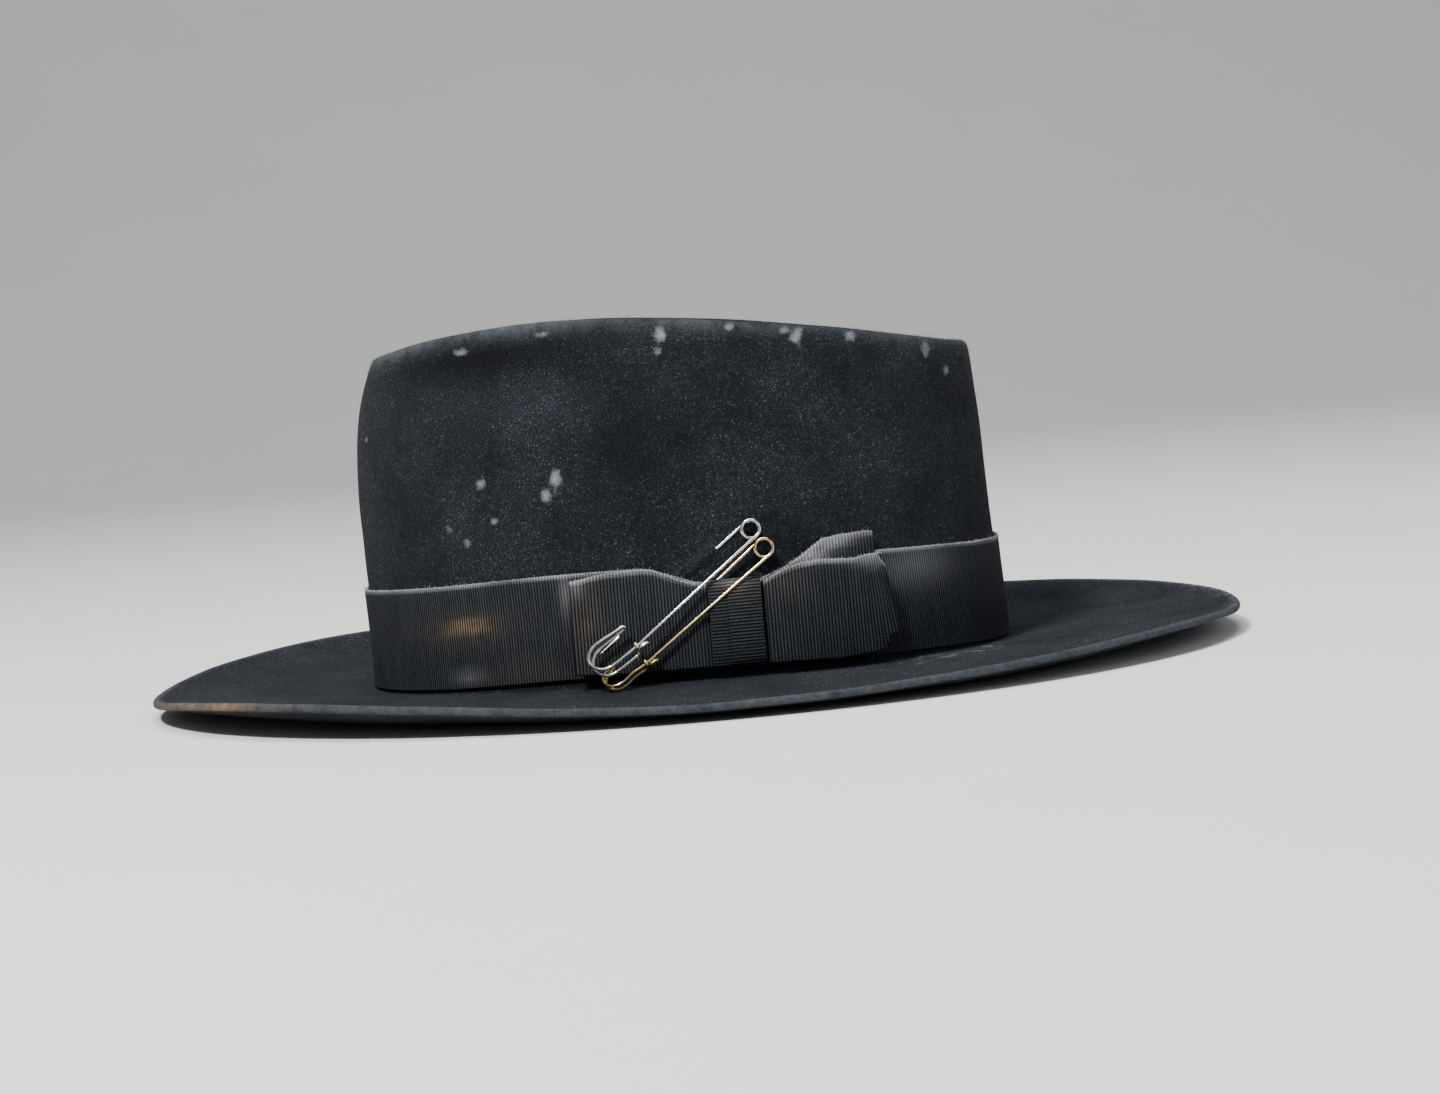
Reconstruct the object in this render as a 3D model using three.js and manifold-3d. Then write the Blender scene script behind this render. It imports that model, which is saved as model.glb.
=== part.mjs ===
// A fur felt fedora with a grosgrain band and bow, a leather sweatband, a satin lining
// and two wire safety pins through the bow.
//
// Units are millimetres. +Z is up, the hat's front is -X and the wearer's left, where the bow is, is -Y.
// The origin is under the middle of the hat, on the plane that the brim rests on.
// The crown and the brim are one sheet of felt. Its upper face is lofted from profiles that run from the
// middle of the crown's top, over the rim, down the wall and out along the brim, one for each angle round
// the hat. Everything sewn to the felt is placed at an offset from that face.
import * as THREE from "three";
import { mergeVertices } from "three/addons/utils/BufferGeometryUtils.js";
import Module from "manifold-3d";

const wasm = await Module();
wasm.setup();

// ---- Driving dimensions ----
const FELT = 2.2; // thickness of the felt
const AROUND = 54; // segments round the hat

// Heights round the hat are cosine series of the angle from the rear, so the two sides match.
const RIM_HEIGHT = [109.1, -6.4, -5.2, 1.0]; // top of the crown's rim
const BRIM_EDGE_HEIGHT = [8.3, -0.1, 0.9, 1.2, -1.8]; // upper face at the brim's edge
const BREAK_HEIGHT = [4.05, 0, -1.15]; // upper face where the crown meets the brim
const BRIM_LOW_HEIGHT = [2.75, 0, 1.25]; // lowest stretch of the brim's upper face

// The crown's wall: share of its height, reach to the front, reach to the rear, half width.
const WALL = [
  [1.0, 94.8, 95.4, 66.0],
  [0.945, 98.4, 96.2, 68.2],
  [0.86, 101.2, 96.7, 70.6],
  [0.74, 103.3, 97.5, 73.4],
  [0.6, 104.3, 98.2, 76.4],
  [0.46, 104.3, 98.7, 79.6],
  [0.3, 103.4, 99.6, 82.8],
  [0.14, 103.3, 100.8, 85.3],
  [0.03, 103.3, 101.2, 86.0],
  [0.0, 103.4, 101.3, 86.1],
];
const RIM_LIFT = 0.4; // the spline's control point stands this far over the rim it makes
const RIM_EGG = 0.13; // how much narrower the rim is in front than behind

// The hollow in the crown's top: share of the way out to the rim, share of the way up to it.
const HOLLOW = [
  [0.0, 0.0],
  [0.3, 0.02],
  [0.56, 0.07],
  [0.76, 0.34],
  [0.9, 0.86],
];
const HOLLOW_FLOOR = 92; // height of its floor in the middle
const HOLLOW_SLOPE = -0.05; // the floor rises towards the front
const HOLLOW_CENTRE_X = 4;

// The brim: share of the way from the crown to the edge, share of the way to the low stretch,
// share of the way from there to the edge's height.
const BRIM = [
  [0.03, 0.05, 0],
  [0.12, 0.35, 0],
  [0.36, 0.85, 0],
  [0.6, 1.0, 0],
  [0.82, 1.0, 0.4],
  [0.94, 1.0, 0.8],
  [1.0, 1.0, 1.0],
];
const BRIM_REACH = { front: 174.5, rear: 175.5, side: 151 };

// The pinch: a long shallow dent in each side of the front, just under the rim.
const PINCH = { x: -56, z: 98, long: 30, tall: 9.5, deep: 6.5 };

// Ribbon round the crown. Depths are measured outwards from the felt's upper face.
const BAND = { inner: 0.35, outer: 1.05, width: 31.2, foot: [6.4, 0, -2.2] };

// The bow on the wearer's left, by x and z.
const KNOT = { left: 6.5, fold: 11.5, right: 21.2, bottom: 8.9, top: 33.1, inner: 1.4, outer: 3.9 };
const LEFT_WING = { left: -32.4, right: 4.3, bottom: 8.9, inner: 2.75, lift: 3.2, thick: 0.9 };
const LEFT_WING_TOP = [36.6, 38.0, 38.7, 38.8, 38.2, 35.2, 33.2];
const RIGHT_WING = { left: 23.2, right: 59.2, bottom: 8.8, inner: 3.1, thick: 1.2 };
const RIGHT_WING_TOP = [32.4, 35.6, 36.8, 36.9, 36.5, 36.4, 36.7];
const BACK_WING = { left: 23.2, right: 55.5, bottom: 9.4, inner: 1.4, thick: 1.2 };
const BACK_WING_TOP = [33.0, 36.2, 39.4, 42.4, 43.6, 44.0, 44.1];

// Inside the crown. Depths are measured inwards from the felt's upper face.
const LINING = { inner: 2.85, outer: 3.35, bottom: 11, top: 79 };
const SWEATBAND = { inner: 3.75, outer: 5.05, bottom: 6.6, top: 48 };
const REED = { inner: 2.8, outer: 5.2, bottom: 2.6, top: 5.8 };
const TIP = { z: 81.4, thick: 0.6, inset: 6.2 };
const PIPING = { radius: 1.1, z: 80.9, inset: 4.7 };
const GUARD = { z: 80.4, thick: 0.4, length: 92, width: 58 };
const SEAM_TAPE = { half: 4, bottom: 9, top: 46, inner: 5.3, outer: 5.8 };
const SMALL_BOW = { z: 15, inner: 6.1, outer: 7.6, knot: 1.9, reach: 12, half: 3.4 };

// The safety pins. A pin is laid out flat: x runs from its coil to its point, y from the frame's straight
// arm to the needle, and its levels rise away from the hat.
const WIRE = 0.45; // radius
const COIL = { radius: 2.7, pitch: 1.05, turns: 1.9, split: (5 * Math.PI) / 3 };
const NEEDLE = { length: 58.8, taper: 7 };
const COLLAR = { at: 48.6, length: 2.2, inner: 0.62, outer: 1.05 };
const SLACK = 0.2; // round a needle, in what it passes through
const STRAND_STEP = 1.05; // from one strand of the clasp up to the other

// Each pin's coil and point are places on the hat: x, z and distance from the felt. `tip` is the y of the
// needle's point, `bend` and `arch` are how far the needle and the frame bow out, `opens` is in degrees,
// `level` and `apart` place the clasp's lower strand, and `clasp` is its upper strand's outline.
const PINS = {
  silver: {
    coil: [20.2, 48.1, 0.95],
    point: [-27.6, 12.6, 7.9],
    tip: 1.0,
    bend: -0.9,
    arch: 2.0,
    opens: 4,
    level: 1.8,
    apart: 2.2,
    clasp: [
      [50.6, -4.7],
      [59.0, -4.2],
      [62.0, -2.5],
      [63.0, 0.5],
      [61.6, 2.6],
      [58.6, 3.7],
      [52.4, 3.0],
      [48.6, 2.6],
    ],
  },
  gold: {
    coil: [23.5, 42.2, 2.45],
    point: [-25.3, 8.7, 4.05],
    tip: -2.4,
    bend: 1.3,
    arch: 1.4,
    opens: 8,
    level: 3.1,
    apart: 1.3,
    clasp: [
      [50.4, -4.9],
      [54.3, -4.6],
      [57.6, -4.9],
      [60.2, -4.4],
      [62.0, -3.0],
      [62.4, -1.0],
      [60.6, 0.5],
      [57.2, 1.1],
    ],
  },
};

// ---- The felt's upper face ----
const lerp = THREE.MathUtils.lerp;

// A cosine series of the angle.
const series = (terms, angle) => terms.reduce((sum, term, k) => sum + term * Math.cos(k * angle), 0);

// A point of an egg-shaped oval that reaches `front` towards -X, `rear` towards +X and `half` to each side.
function oval(angle, front, rear, half, egg = 0) {
  const x = (rear - front) / 2 + ((rear + front) / 2) * Math.cos(angle);
  return [x, half * Math.sin(angle) * (1 + egg * Math.cos(angle))];
}

// The spline's control points for one profile, from the middle of the crown's top out to the brim's edge.
function profile(angle) {
  const rim = series(RIM_HEIGHT, angle) + RIM_LIFT;
  const [, rimFront, rimRear, rimHalf] = WALL[0];
  const [rimX, rimY] = oval(angle, rimFront, rimRear, rimHalf, RIM_EGG);
  const points = HOLLOW.map(([out, up]) => {
    const x = lerp(HOLLOW_CENTRE_X, rimX, out);
    const floor = HOLLOW_FLOOR + HOLLOW_SLOPE * x;
    return new THREE.Vector3(x, rimY * out, lerp(floor, rim, up));
  });
  const foot = series(BREAK_HEIGHT, angle);
  for (const [share, front, rear, half] of WALL) {
    const [x, y] = oval(angle, front, rear, half, RIM_EGG * share);
    points.push(new THREE.Vector3(x, y, lerp(foot, rim, share)));
  }
  const base = points[points.length - 1];
  const low = series(BRIM_LOW_HEIGHT, angle);
  const edge = series(BRIM_EDGE_HEIGHT, angle);
  const [edgeX, edgeY] = oval(angle, BRIM_REACH.front, BRIM_REACH.rear, BRIM_REACH.side);
  for (const [out, down, up] of BRIM) {
    const z = lerp(lerp(foot, low, down), edge, up);
    points.push(new THREE.Vector3(lerp(base.x, edgeX, out), lerp(base.y, edgeY, out), z));
  }
  return points;
}

const CENTRE_V = 0;
const RIM_V = HOLLOW.length; // where along a profile its rim is
const FOOT_V = RIM_V + WALL.length - 1; // where the wall meets the brim
const EDGE_V = FOOT_V + BRIM.length;

// A point of a uniform cubic B-spline that starts and ends on its end points.
function spline(points, v) {
  const last = points.length - 1;
  const i = Math.min(Math.floor(v), last - 1);
  const t = v - i;
  const at = (k) => {
    if (k < 0) return points[0].clone().multiplyScalar(2).sub(points[1]);
    if (k > last) return points[last].clone().multiplyScalar(2).sub(points[last - 1]);
    return points[k];
  };
  const weights = [(1 - t) ** 3, 3 * t ** 3 - 6 * t ** 2 + 4, -3 * t ** 3 + 3 * t ** 2 + 3 * t + 1, t ** 3];
  const point = new THREE.Vector3();
  weights.forEach((weight, k) => point.addScaledVector(at(i + k - 1), weight / 6));
  return point;
}

// The felt's upper face, pinch included.
function face(angle, v) {
  const point = spline(profile(angle), v);
  const across = (point.x - PINCH.x) / PINCH.long;
  const up = (point.z - PINCH.z) / PINCH.tall;
  point.y -= PINCH.deep * Math.sin(angle) * Math.exp(-(across ** 2) - up ** 2);
  return point;
}

// The face's outward normal.
function normal(angle, v) {
  const step = 1e-3;
  const along = face(angle, Math.min(v + step, EDGE_V)).sub(face(angle, Math.max(v - step, CENTRE_V)));
  const round = face(angle + step, v).sub(face(angle - step, v));
  return along.cross(round).normalize();
}

// A point at an offset from the face, outwards or upwards.
const offset = (angle, v, by) => face(angle, v).addScaledVector(normal(angle, v), by);

// Where along the profile the wall is at height z.
function wallAt(angle, z) {
  let [above, below] = [RIM_V + 0.5, FOOT_V];
  for (let k = 0; k < 24; k++) {
    const middle = (above + below) / 2;
    if (face(angle, middle).z > z) above = middle;
    else below = middle;
  }
  return (above + below) / 2;
}

const onWall = (angle, z, by) => offset(angle, wallAt(angle, z), by);

// A point off the wall of the wearer's left side, by its x and its height.
function onSide(x, z, by) {
  let [low, high] = [-Math.PI, 0];
  for (let k = 0; k < 24; k++) {
    const middle = (low + high) / 2;
    if (face(middle, wallAt(middle, z)).x < x) low = middle;
    else high = middle;
  }
  return onWall((low + high) / 2, z, by);
}

// ---- Solids ----
const turn = (k, count) => (2 * Math.PI * k) / count;

// A closed geometry from rings of points. The last ring joins the first, or both ends are capped.
function skin(rings, { closed = false, caps = [] } = {}) {
  const size = rings[0].length;
  const points = rings.flat();
  const faces = [];
  const joints = closed ? rings.length : rings.length - 1;
  for (let i = 0; i < joints; i++)
    for (let k = 0; k < size; k++) {
      const a = i * size + k;
      const b = i * size + ((k + 1) % size);
      const c = ((i + 1) % rings.length) * size + k;
      const d = ((i + 1) % rings.length) * size + ((k + 1) % size);
      faces.push(a, b, c, b, d, c);
    }
  if (!closed)
    [rings[0], rings[rings.length - 1]].forEach((ring, end) => {
      // By the time the second end is capped, the first cap's middle is the last point.
      const start = end ? points.length - size - 1 : 0;
      const middle = caps[end] ?? ring.reduce((sum, p) => sum.add(p), new THREE.Vector3()).divideScalar(size);
      points.push(middle);
      for (let k = 0; k < size; k++) {
        const pair = [start + k, start + ((k + 1) % size)];
        if (!end) pair.reverse();
        faces.push(...pair, points.length - 1);
      }
    });
  const geometry = new THREE.BufferGeometry().setFromPoints(points);
  geometry.setIndex(faces);
  return facingOut(geometry);
}

// The geometry with its faces turned to point out.
function facingOut(geometry) {
  const at = geometry.getAttribute("position");
  const index = geometry.getIndex();
  const corner = (k) => new THREE.Vector3().fromBufferAttribute(at, index.getX(k));
  let volume = 0;
  for (let k = 0; k < index.count; k += 3) volume += corner(k).dot(corner(k + 1).cross(corner(k + 2)));
  if (volume < 0)
    for (let k = 0; k < index.count; k += 3) {
      const second = index.getX(k + 1);
      index.setX(k + 1, index.getX(k + 2));
      index.setX(k + 2, second);
    }
  return geometry;
}

// A geometry as a manifold-3d solid, and back.
function toSolid(geometry) {
  const bare = new THREE.BufferGeometry().setAttribute("position", geometry.getAttribute("position"));
  if (geometry.index) bare.setIndex(geometry.index);
  const merged = mergeVertices(bare, 1e-4);
  return new wasm.Manifold(
    new wasm.Mesh({
      numProp: 3,
      vertProperties: new Float32Array(merged.attributes.position.array),
      triVerts: new Uint32Array(merged.index.array),
    }),
  );
}

function toGeometry(solid) {
  const mesh = solid.getMesh();
  const geometry = new THREE.BufferGeometry();
  geometry.setAttribute("position", new THREE.BufferAttribute(new Float32Array(mesh.vertProperties), 3));
  geometry.setIndex(new THREE.BufferAttribute(new Uint32Array(mesh.triVerts), 1));
  return geometry;
}

// The geometry with other solids cut out of it.
function cut(geometry, tools) {
  return toGeometry(tools.reduce((left, tool) => left.subtract(tool), toSolid(geometry)));
}

// A strip round the whole crown: for each angle, the corners of its section.
function ring(corners) {
  const rings = [];
  for (let k = 0; k < AROUND; k++) rings.push(corners(turn(k, AROUND)));
  return skin(rings, { closed: true });
}

// A flat piece of ribbon on the wearer's left side, upright, with a curved top edge. `tops` are heights at
// even steps along it, and `lift` is how far its far end stands off.
function ribbon({ left, right, bottom, inner, thick, lift = 0 }, tops, rows = 5) {
  const rings = tops.map((top, i) => {
    const share = i / (tops.length - 1);
    const x = lerp(left, right, share);
    const depth = inner + lift * (1 - share) ** 2;
    const ring = [];
    for (let k = 0; k <= rows; k++) ring.push(onSide(x, lerp(bottom, top, k / rows), depth));
    for (let k = rows; k >= 0; k--) ring.push(onSide(x, lerp(bottom, top, k / rows), depth + thick));
    return ring;
  });
  return skin(rings);
}

// ---- Felt ----
const circle = (at) => Array.from({ length: AROUND }, (_, k) => at(turn(k, AROUND)));

function feltBody() {
  // Rows are closest where the face turns fastest.
  const rows = [0.5, 1.3, 2.2, 3.0, 3.6, 4.1, 4.5, 4.8, 5.1, 5.4, 5.8, 6.4, 7.2, 8.2, 9.4, 10.6, 11.8, 12.5];
  rows.push(13.1, 13.6, 14.0, 14.4, 15.0, 15.6, 16.3, 17.2, 18.1, 19.0, 20.0, EDGE_V);
  const under = (angle, v) => {
    const point = offset(angle, v, -FELT);
    point.z = Math.max(point.z, 0); // the brim is pressed flat where it rests
    return point;
  };
  const upper = rows.map((v) => circle((angle) => face(angle, v)));
  const lower = rows.map((v) => circle((angle) => under(angle, v))).reverse();
  const lip = circle((angle) => {
    const outwards = new THREE.Vector3(Math.cos(angle), Math.sin(angle), 0);
    return offset(angle, EDGE_V, -FELT / 2).addScaledVector(outwards, 0.7);
  });
  const top = face(0, CENTRE_V);
  return skin([...upper, lip, ...lower], { caps: [top, top.clone().setZ(top.z - FELT)] });
}

// ---- Ribbon ----
// A strip that follows the wall, between two heights, with its two faces at given depths.
function strip(foot, width, near, far, rows) {
  return ring((angle) => {
    const bottom = foot(angle);
    const corners = [];
    for (let k = 0; k <= rows; k++) corners.push(onWall(angle, bottom + (width * k) / rows, near));
    for (let k = rows; k >= 0; k--) corners.push(onWall(angle, bottom + (width * k) / rows, far));
    return corners;
  });
}

function hatBand() {
  return strip((angle) => series(BAND.foot, angle), BAND.width, BAND.inner, BAND.outer, 5);
}

// Half of the knot: a pleat of ribbon, bulging in its middle.
function pleat(left, right, lift) {
  const rings = [];
  const rows = 6;
  for (let i = 0; i <= 4; i++) {
    const x = lerp(left, right, i / 4);
    const ring = [];
    const bulge = lift - 0.9 * Math.abs(i / 2 - 1) ** 2;
    for (let k = 0; k <= rows; k++) ring.push(onSide(x, lerp(KNOT.bottom, KNOT.top, k / rows), KNOT.inner));
    for (let k = rows; k >= 0; k--) {
      const share = k / rows;
      const edge = Math.abs(2 * share - 1) ** 4;
      ring.push(onSide(x, lerp(KNOT.bottom, KNOT.top, share), KNOT.outer + bulge - 1.2 * edge));
    }
    rings.push(ring);
  }
  return skin(rings);
}

// ---- Inside the crown ----
const constant = (value) => () => value;

// A strip round the inside of the wall.
function insideStrip({ bottom, top, inner, outer }, rows) {
  return strip(constant(bottom), top - bottom, -outer, -inner, rows);
}

// The lining's edge at the tip, inside the wall.
const tipEdge = (angle, z, inset) => onWall(angle, z, -inset).setZ(z);

// A flat slab with the outline of a ring of points.
function slab(outline, thick) {
  const lifted = outline.map((point) => point.clone().setZ(point.z + thick));
  return skin([outline, lifted]);
}

const tip = () => slab(circle((angle) => tipEdge(angle, TIP.z, TIP.inset)), TIP.thick);

function piping() {
  return ring((angle) => {
    const centre = tipEdge(angle, PIPING.z, PIPING.inset);
    const out = new THREE.Vector3(Math.cos(angle), Math.sin(angle), 0);
    return [0, 1, 2, 3, 4, 5].map((k) => {
      const [across, up] = [Math.cos(turn(k, 6)), Math.sin(turn(k, 6))].map((at) => at * PIPING.radius);
      return centre.clone().addScaledVector(out, across).setZ(centre.z + up);
    });
  });
}

function guard() {
  const outline = circle((angle) => {
    const [x, y] = oval(angle, GUARD.length / 2, GUARD.length / 2, GUARD.width / 2);
    return new THREE.Vector3(x, y, GUARD.z);
  });
  return slab(outline, GUARD.thick);
}

const REAR_REACH = WALL[5][2];

// A patch on the inside of the rear, between two angles either side of the middle.
function rearPatch(reach, bottom, top, near, far, steps = 2) {
  const rings = [];
  for (let i = 0; i <= steps; i++) {
    const angle = lerp(reach[0], reach[1], i / steps) / REAR_REACH;
    const [low, high] = [bottom(i / steps), top(i / steps)];
    const corners = [[low, far], [high, far], [high, near], [low, near]];
    rings.push(corners.map(([z, depth]) => onWall(angle, z, -depth)));
  }
  return skin(rings);
}

function smallBowLoop(side) {
  const { z, inner, outer, knot, reach, half } = SMALL_BOW;
  const flare = (share) => lerp(0.45, 1, side > 0 ? share : 1 - share) * half;
  const ends = side > 0 ? [knot + 0.3, reach] : [-reach, -knot - 0.3];
  return rearPatch(ends, (share) => z - flare(share), (share) => z + flare(share), inner, outer, 4);
}

function smallBowKnot() {
  const { z, inner, outer, knot, half } = SMALL_BOW;
  const [bottom, top] = [z - 0.6 * half, z + 0.6 * half];
  return rearPatch([-knot, knot], constant(bottom), constant(top), inner, outer + 0.4);
}

function seamTape() {
  const { half, bottom, top, inner, outer } = SEAM_TAPE;
  return rearPatch([-half, half], constant(bottom), constant(top), inner, outer);
}

// ---- Safety pins ----
// A pin's own frame on the hat: its coil's centre, and its x, y and level directions.
function pinFrame({ coil, point }) {
  const centre = onSide(...coil);
  const end = onSide(...point);
  const along = end.clone().sub(centre).normalize();
  const middle = onSide((coil[0] + point[0]) / 2, (coil[1] + point[1]) / 2, 10);
  const foot = onSide((coil[0] + point[0]) / 2, (coil[1] + point[1]) / 2, 0);
  const out = middle.sub(foot).normalize();
  out.addScaledVector(along, -out.dot(along)).normalize();
  const across = out.clone().cross(along).normalize();
  if (across.z < 0) across.negate();
  return { centre, along, across, out };
}

// A point of a pin, from its place in the pin's own frame.
function pinPoint({ centre, along, across, out }, x, y, level) {
  return centre.clone().addScaledVector(along, x).addScaledVector(across, y).addScaledVector(out, level);
}

// The frame's straight arm, from where it leaves the coil.
const COIL_EXIT = COIL.radius * Math.cos(COIL.split + 2 * Math.PI * COIL.turns);
const armSide = (pin, x) => lerp(-COIL.radius, pin.clasp[0][1], x / COLLAR.at);

// How far a long arm of a pin is bent away from straight.
const bow = (x, by) => (x > 0 ? by * 4 * (x / NEEDLE.length) * (1 - x / NEEDLE.length) : 0);

// A circle of points round a wire's centre, square to the way it runs.
function section(frame, centre, ahead, radius, sides) {
  const first = frame.out.clone().addScaledVector(ahead, -frame.out.dot(ahead)).normalize();
  const second = ahead.clone().cross(first);
  return Array.from({ length: sides }, (_, k) => {
    const [across, up] = [Math.cos(turn(k, sides)) * radius, Math.sin(turn(k, sides)) * radius];
    return centre.clone().addScaledVector(first, across).addScaledVector(second, up);
  });
}

// A wire through places in the pin's own frame, with its radius at each of them.
function pinWire(frame, places, radiusAt = () => WIRE) {
  const points = places.map((place) => pinPoint(frame, ...place));
  const rings = points.map((point, i) => {
    const before = points[Math.max(i - 1, 0)];
    const after = points[Math.min(i + 1, points.length - 1)];
    return section(frame, point, after.clone().sub(before).normalize(), radiusAt(places[i]), 7);
  });
  return skin(rings);
}

// The needle: its part of the coil, then the arm, bent by `bend`, down to the point.
function needlePlaces({ bend, tip: end }) {
  const places = [];
  for (let k = 0; k <= 10; k++) {
    const angle = lerp(COIL.split, Math.PI / 2, k / 10);
    places.push([COIL.radius * Math.cos(angle), COIL.radius * Math.sin(angle), 0]);
  }
  for (let k = 1; k <= 14; k++) {
    const x = (NEEDLE.length * k) / 14;
    places.push([x, lerp(COIL.radius, end, k / 14), bow(x, bend)]);
  }
  return places;
}

function needle(pin) {
  const radiusAt = ([x]) => Math.min(WIRE, 0.06 + (WIRE * (NEEDLE.length - x)) / NEEDLE.taper);
  return pinWire(pinFrame(pin), needlePlaces(pin), radiusAt);
}

// The level that the coil ends at, and the frame's level further along.
const COIL_TOP = COIL.pitch * (1 + COIL.turns);

function frameLevel({ arch, level }, x) {
  return lerp(COIL_TOP, level + STRAND_STEP, Math.min(x / NEEDLE.length, 1)) + Math.max(bow(x, arch), 0);
}

// The frame: the rest of the coil, the straight arm, then the clasp, there and back.
function pinBody(pin) {
  const places = [];
  for (let k = 0; k <= 26; k++) {
    const angle = lerp(COIL.split, COIL.split + 2 * Math.PI * COIL.turns, k / 26);
    const level = lerp(COIL.pitch, COIL_TOP, k / 26);
    places.push([COIL.radius * Math.cos(angle), COIL.radius * Math.sin(angle), level]);
  }
  for (let k = 1; k <= 10; k++) {
    const x = lerp(COIL_EXIT, COLLAR.at, k / 10);
    places.push([x, armSide(pin, x), frameLevel(pin, x)]);
  }
  const steps = 20;
  const curve = new THREE.CatmullRomCurve3(pin.clasp.map(([x, y]) => new THREE.Vector3(x, y, 0)));
  const upper = curve.getSpacedPoints(steps).map(({ x, y }) => [x, y, frameLevel(pin, x)]);
  const lower = upper.map(([x, y, level], k) => {
    const apart = lerp(pin.apart, 0.9, Math.max(0, (2 * k) / steps - 1)); // the strands meet at the end
    return [x, y - apart, level - STRAND_STEP];
  });
  const [x, y, level] = upper[steps];
  places.push(...upper, [x - 0.7, y - 0.45, level - STRAND_STEP / 2], ...lower.reverse());
  return pinWire(pinFrame(pin), places);
}

// The collar round the frame's arm, where the wire's end is closed on it.
function collar(pin) {
  const frame = pinFrame(pin);
  const at = (x) => pinPoint(frame, x, armSide(pin, x), frameLevel(pin, x));
  const [start, end] = [at(COLLAR.at - COLLAR.length), at(COLLAR.at)];
  const ahead = end.clone().sub(start).normalize();
  const corners = [[start, COLLAR.outer], [end, COLLAR.outer], [end, COLLAR.inner], [start, COLLAR.inner]];
  return skin(corners.map(([centre, radius]) => section(frame, centre, ahead, radius, 10)), { closed: true });
}

// All the room that a needle's arm takes up as it swings, with slack, and `over` more on the outside.
function sweep(pin, over = 0) {
  const frame = pinFrame(pin);
  const swing = THREE.MathUtils.degToRad(pin.opens);
  const reach = WIRE + SLACK;
  const rings = needlePlaces(pin)
    .filter(([x]) => x > 1)
    .map(([x, y, level]) => {
      const [c, s] = [Math.cos(swing), Math.sin(swing)];
      const [far, high] = [c * x - s * y, s * x + c * y];
      return [
        pinPoint(frame, x, y - reach, level - reach),
        pinPoint(frame, far, high + reach, level - reach),
        pinPoint(frame, far, high + reach, level + reach + over),
        pinPoint(frame, x, y - reach, level + reach + over),
      ];
    });
  return toSolid(skin(rings));
}

// ---- Assembly ----
function finish(color, roughness, metalness = 0) {
  return new THREE.MeshStandardMaterial({ color, roughness, metalness });
}

const MATERIALS = {
  felt: finish(0x15181c, 0.95),
  ribbon: finish(0x10151c, 0.8),
  leather: finish(0x2b1c14, 0.6),
  satin: finish(0x25272c, 0.45),
  cord: finish(0x1a1a1c, 0.8),
  clear: finish(0xdde3e6, 0.15),
  steel: finish(0xc8cbd0, 0.2, 1),
  brass: finish(0xd8b56a, 0.25, 1),
};

const hat = new THREE.Group();

function add(name, material, geometry) {
  const mesh = new THREE.Mesh(geometry, MATERIALS[material]);
  mesh.name = name;
  hat.add(mesh);
}

const silverSweep = sweep(PINS.silver);
const goldSweep = sweep(PINS.gold);

add("felt_body", "felt", cut(feltBody(), [silverSweep]));
add("hat_band", "ribbon", cut(hatBand(), [sweep(PINS.silver, 1.5)]));
add("bow_left_wing", "ribbon", cut(ribbon(LEFT_WING, LEFT_WING_TOP), [silverSweep]));
add("bow_right_wing", "ribbon", ribbon(RIGHT_WING, RIGHT_WING_TOP));
add("bow_right_wing_back", "ribbon", ribbon(BACK_WING, BACK_WING_TOP));
add("bow_knot", "ribbon", pleat(KNOT.fold + 0.3, KNOT.right, 0.3));
add("bow_knot_pleat", "ribbon", cut(pleat(KNOT.left, KNOT.fold, 0), [goldSweep]));

add("lining_side", "satin", insideStrip(LINING, 9));
add("lining_tip", "satin", tip());
add("lining_piping", "satin", piping());
add("tip_guard", "clear", guard());
add("sweatband", "leather", insideStrip(SWEATBAND, 5));
add("sweatband_reed", "cord", insideStrip(REED, 2));
add("sweatband_seam_tape", "ribbon", seamTape());
add("sweatband_bow_left", "ribbon", smallBowLoop(-1));
add("sweatband_bow_right", "ribbon", smallBowLoop(1));
add("sweatband_bow_knot", "ribbon", smallBowKnot());

for (const [name, pin] of Object.entries(PINS)) {
  const metal = name === "silver" ? "steel" : "brass";
  add(`${name}_pin_frame`, metal, pinBody(pin));
  add(`${name}_pin_needle`, metal, needle(pin));
  add(`${name}_pin_collar`, metal, collar(pin));
}

export default hat;
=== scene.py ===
"""Looks for the felt fedora: fine felt, ribbon, leather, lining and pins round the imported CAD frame.

Shapes are worked out in millimetres in the CAD's frame and turned into metres when a mesh is made.
An angle is 0 at the rear of the hat and pi at the front. v runs along a profile of the felt, from the
middle of the crown's top to the brim's edge, and a depth is a distance outwards from the felt's outer face.
The front of the hat is -X, the wearer's left is -Y and +Z is up.
"""
import math

import bpy
import numpy as np
from mathutils import Matrix, Vector


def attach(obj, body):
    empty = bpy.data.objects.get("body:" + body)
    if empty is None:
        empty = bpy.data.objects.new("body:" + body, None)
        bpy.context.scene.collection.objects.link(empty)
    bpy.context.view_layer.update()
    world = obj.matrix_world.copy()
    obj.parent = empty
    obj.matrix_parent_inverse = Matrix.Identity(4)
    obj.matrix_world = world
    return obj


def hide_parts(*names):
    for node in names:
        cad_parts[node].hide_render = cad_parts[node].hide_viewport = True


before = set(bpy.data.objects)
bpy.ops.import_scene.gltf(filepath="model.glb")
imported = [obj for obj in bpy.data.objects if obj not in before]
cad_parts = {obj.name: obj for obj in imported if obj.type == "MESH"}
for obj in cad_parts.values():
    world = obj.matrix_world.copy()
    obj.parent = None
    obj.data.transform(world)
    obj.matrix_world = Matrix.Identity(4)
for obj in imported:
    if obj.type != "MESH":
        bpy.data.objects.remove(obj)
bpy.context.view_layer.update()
MM = 0.001

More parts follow.
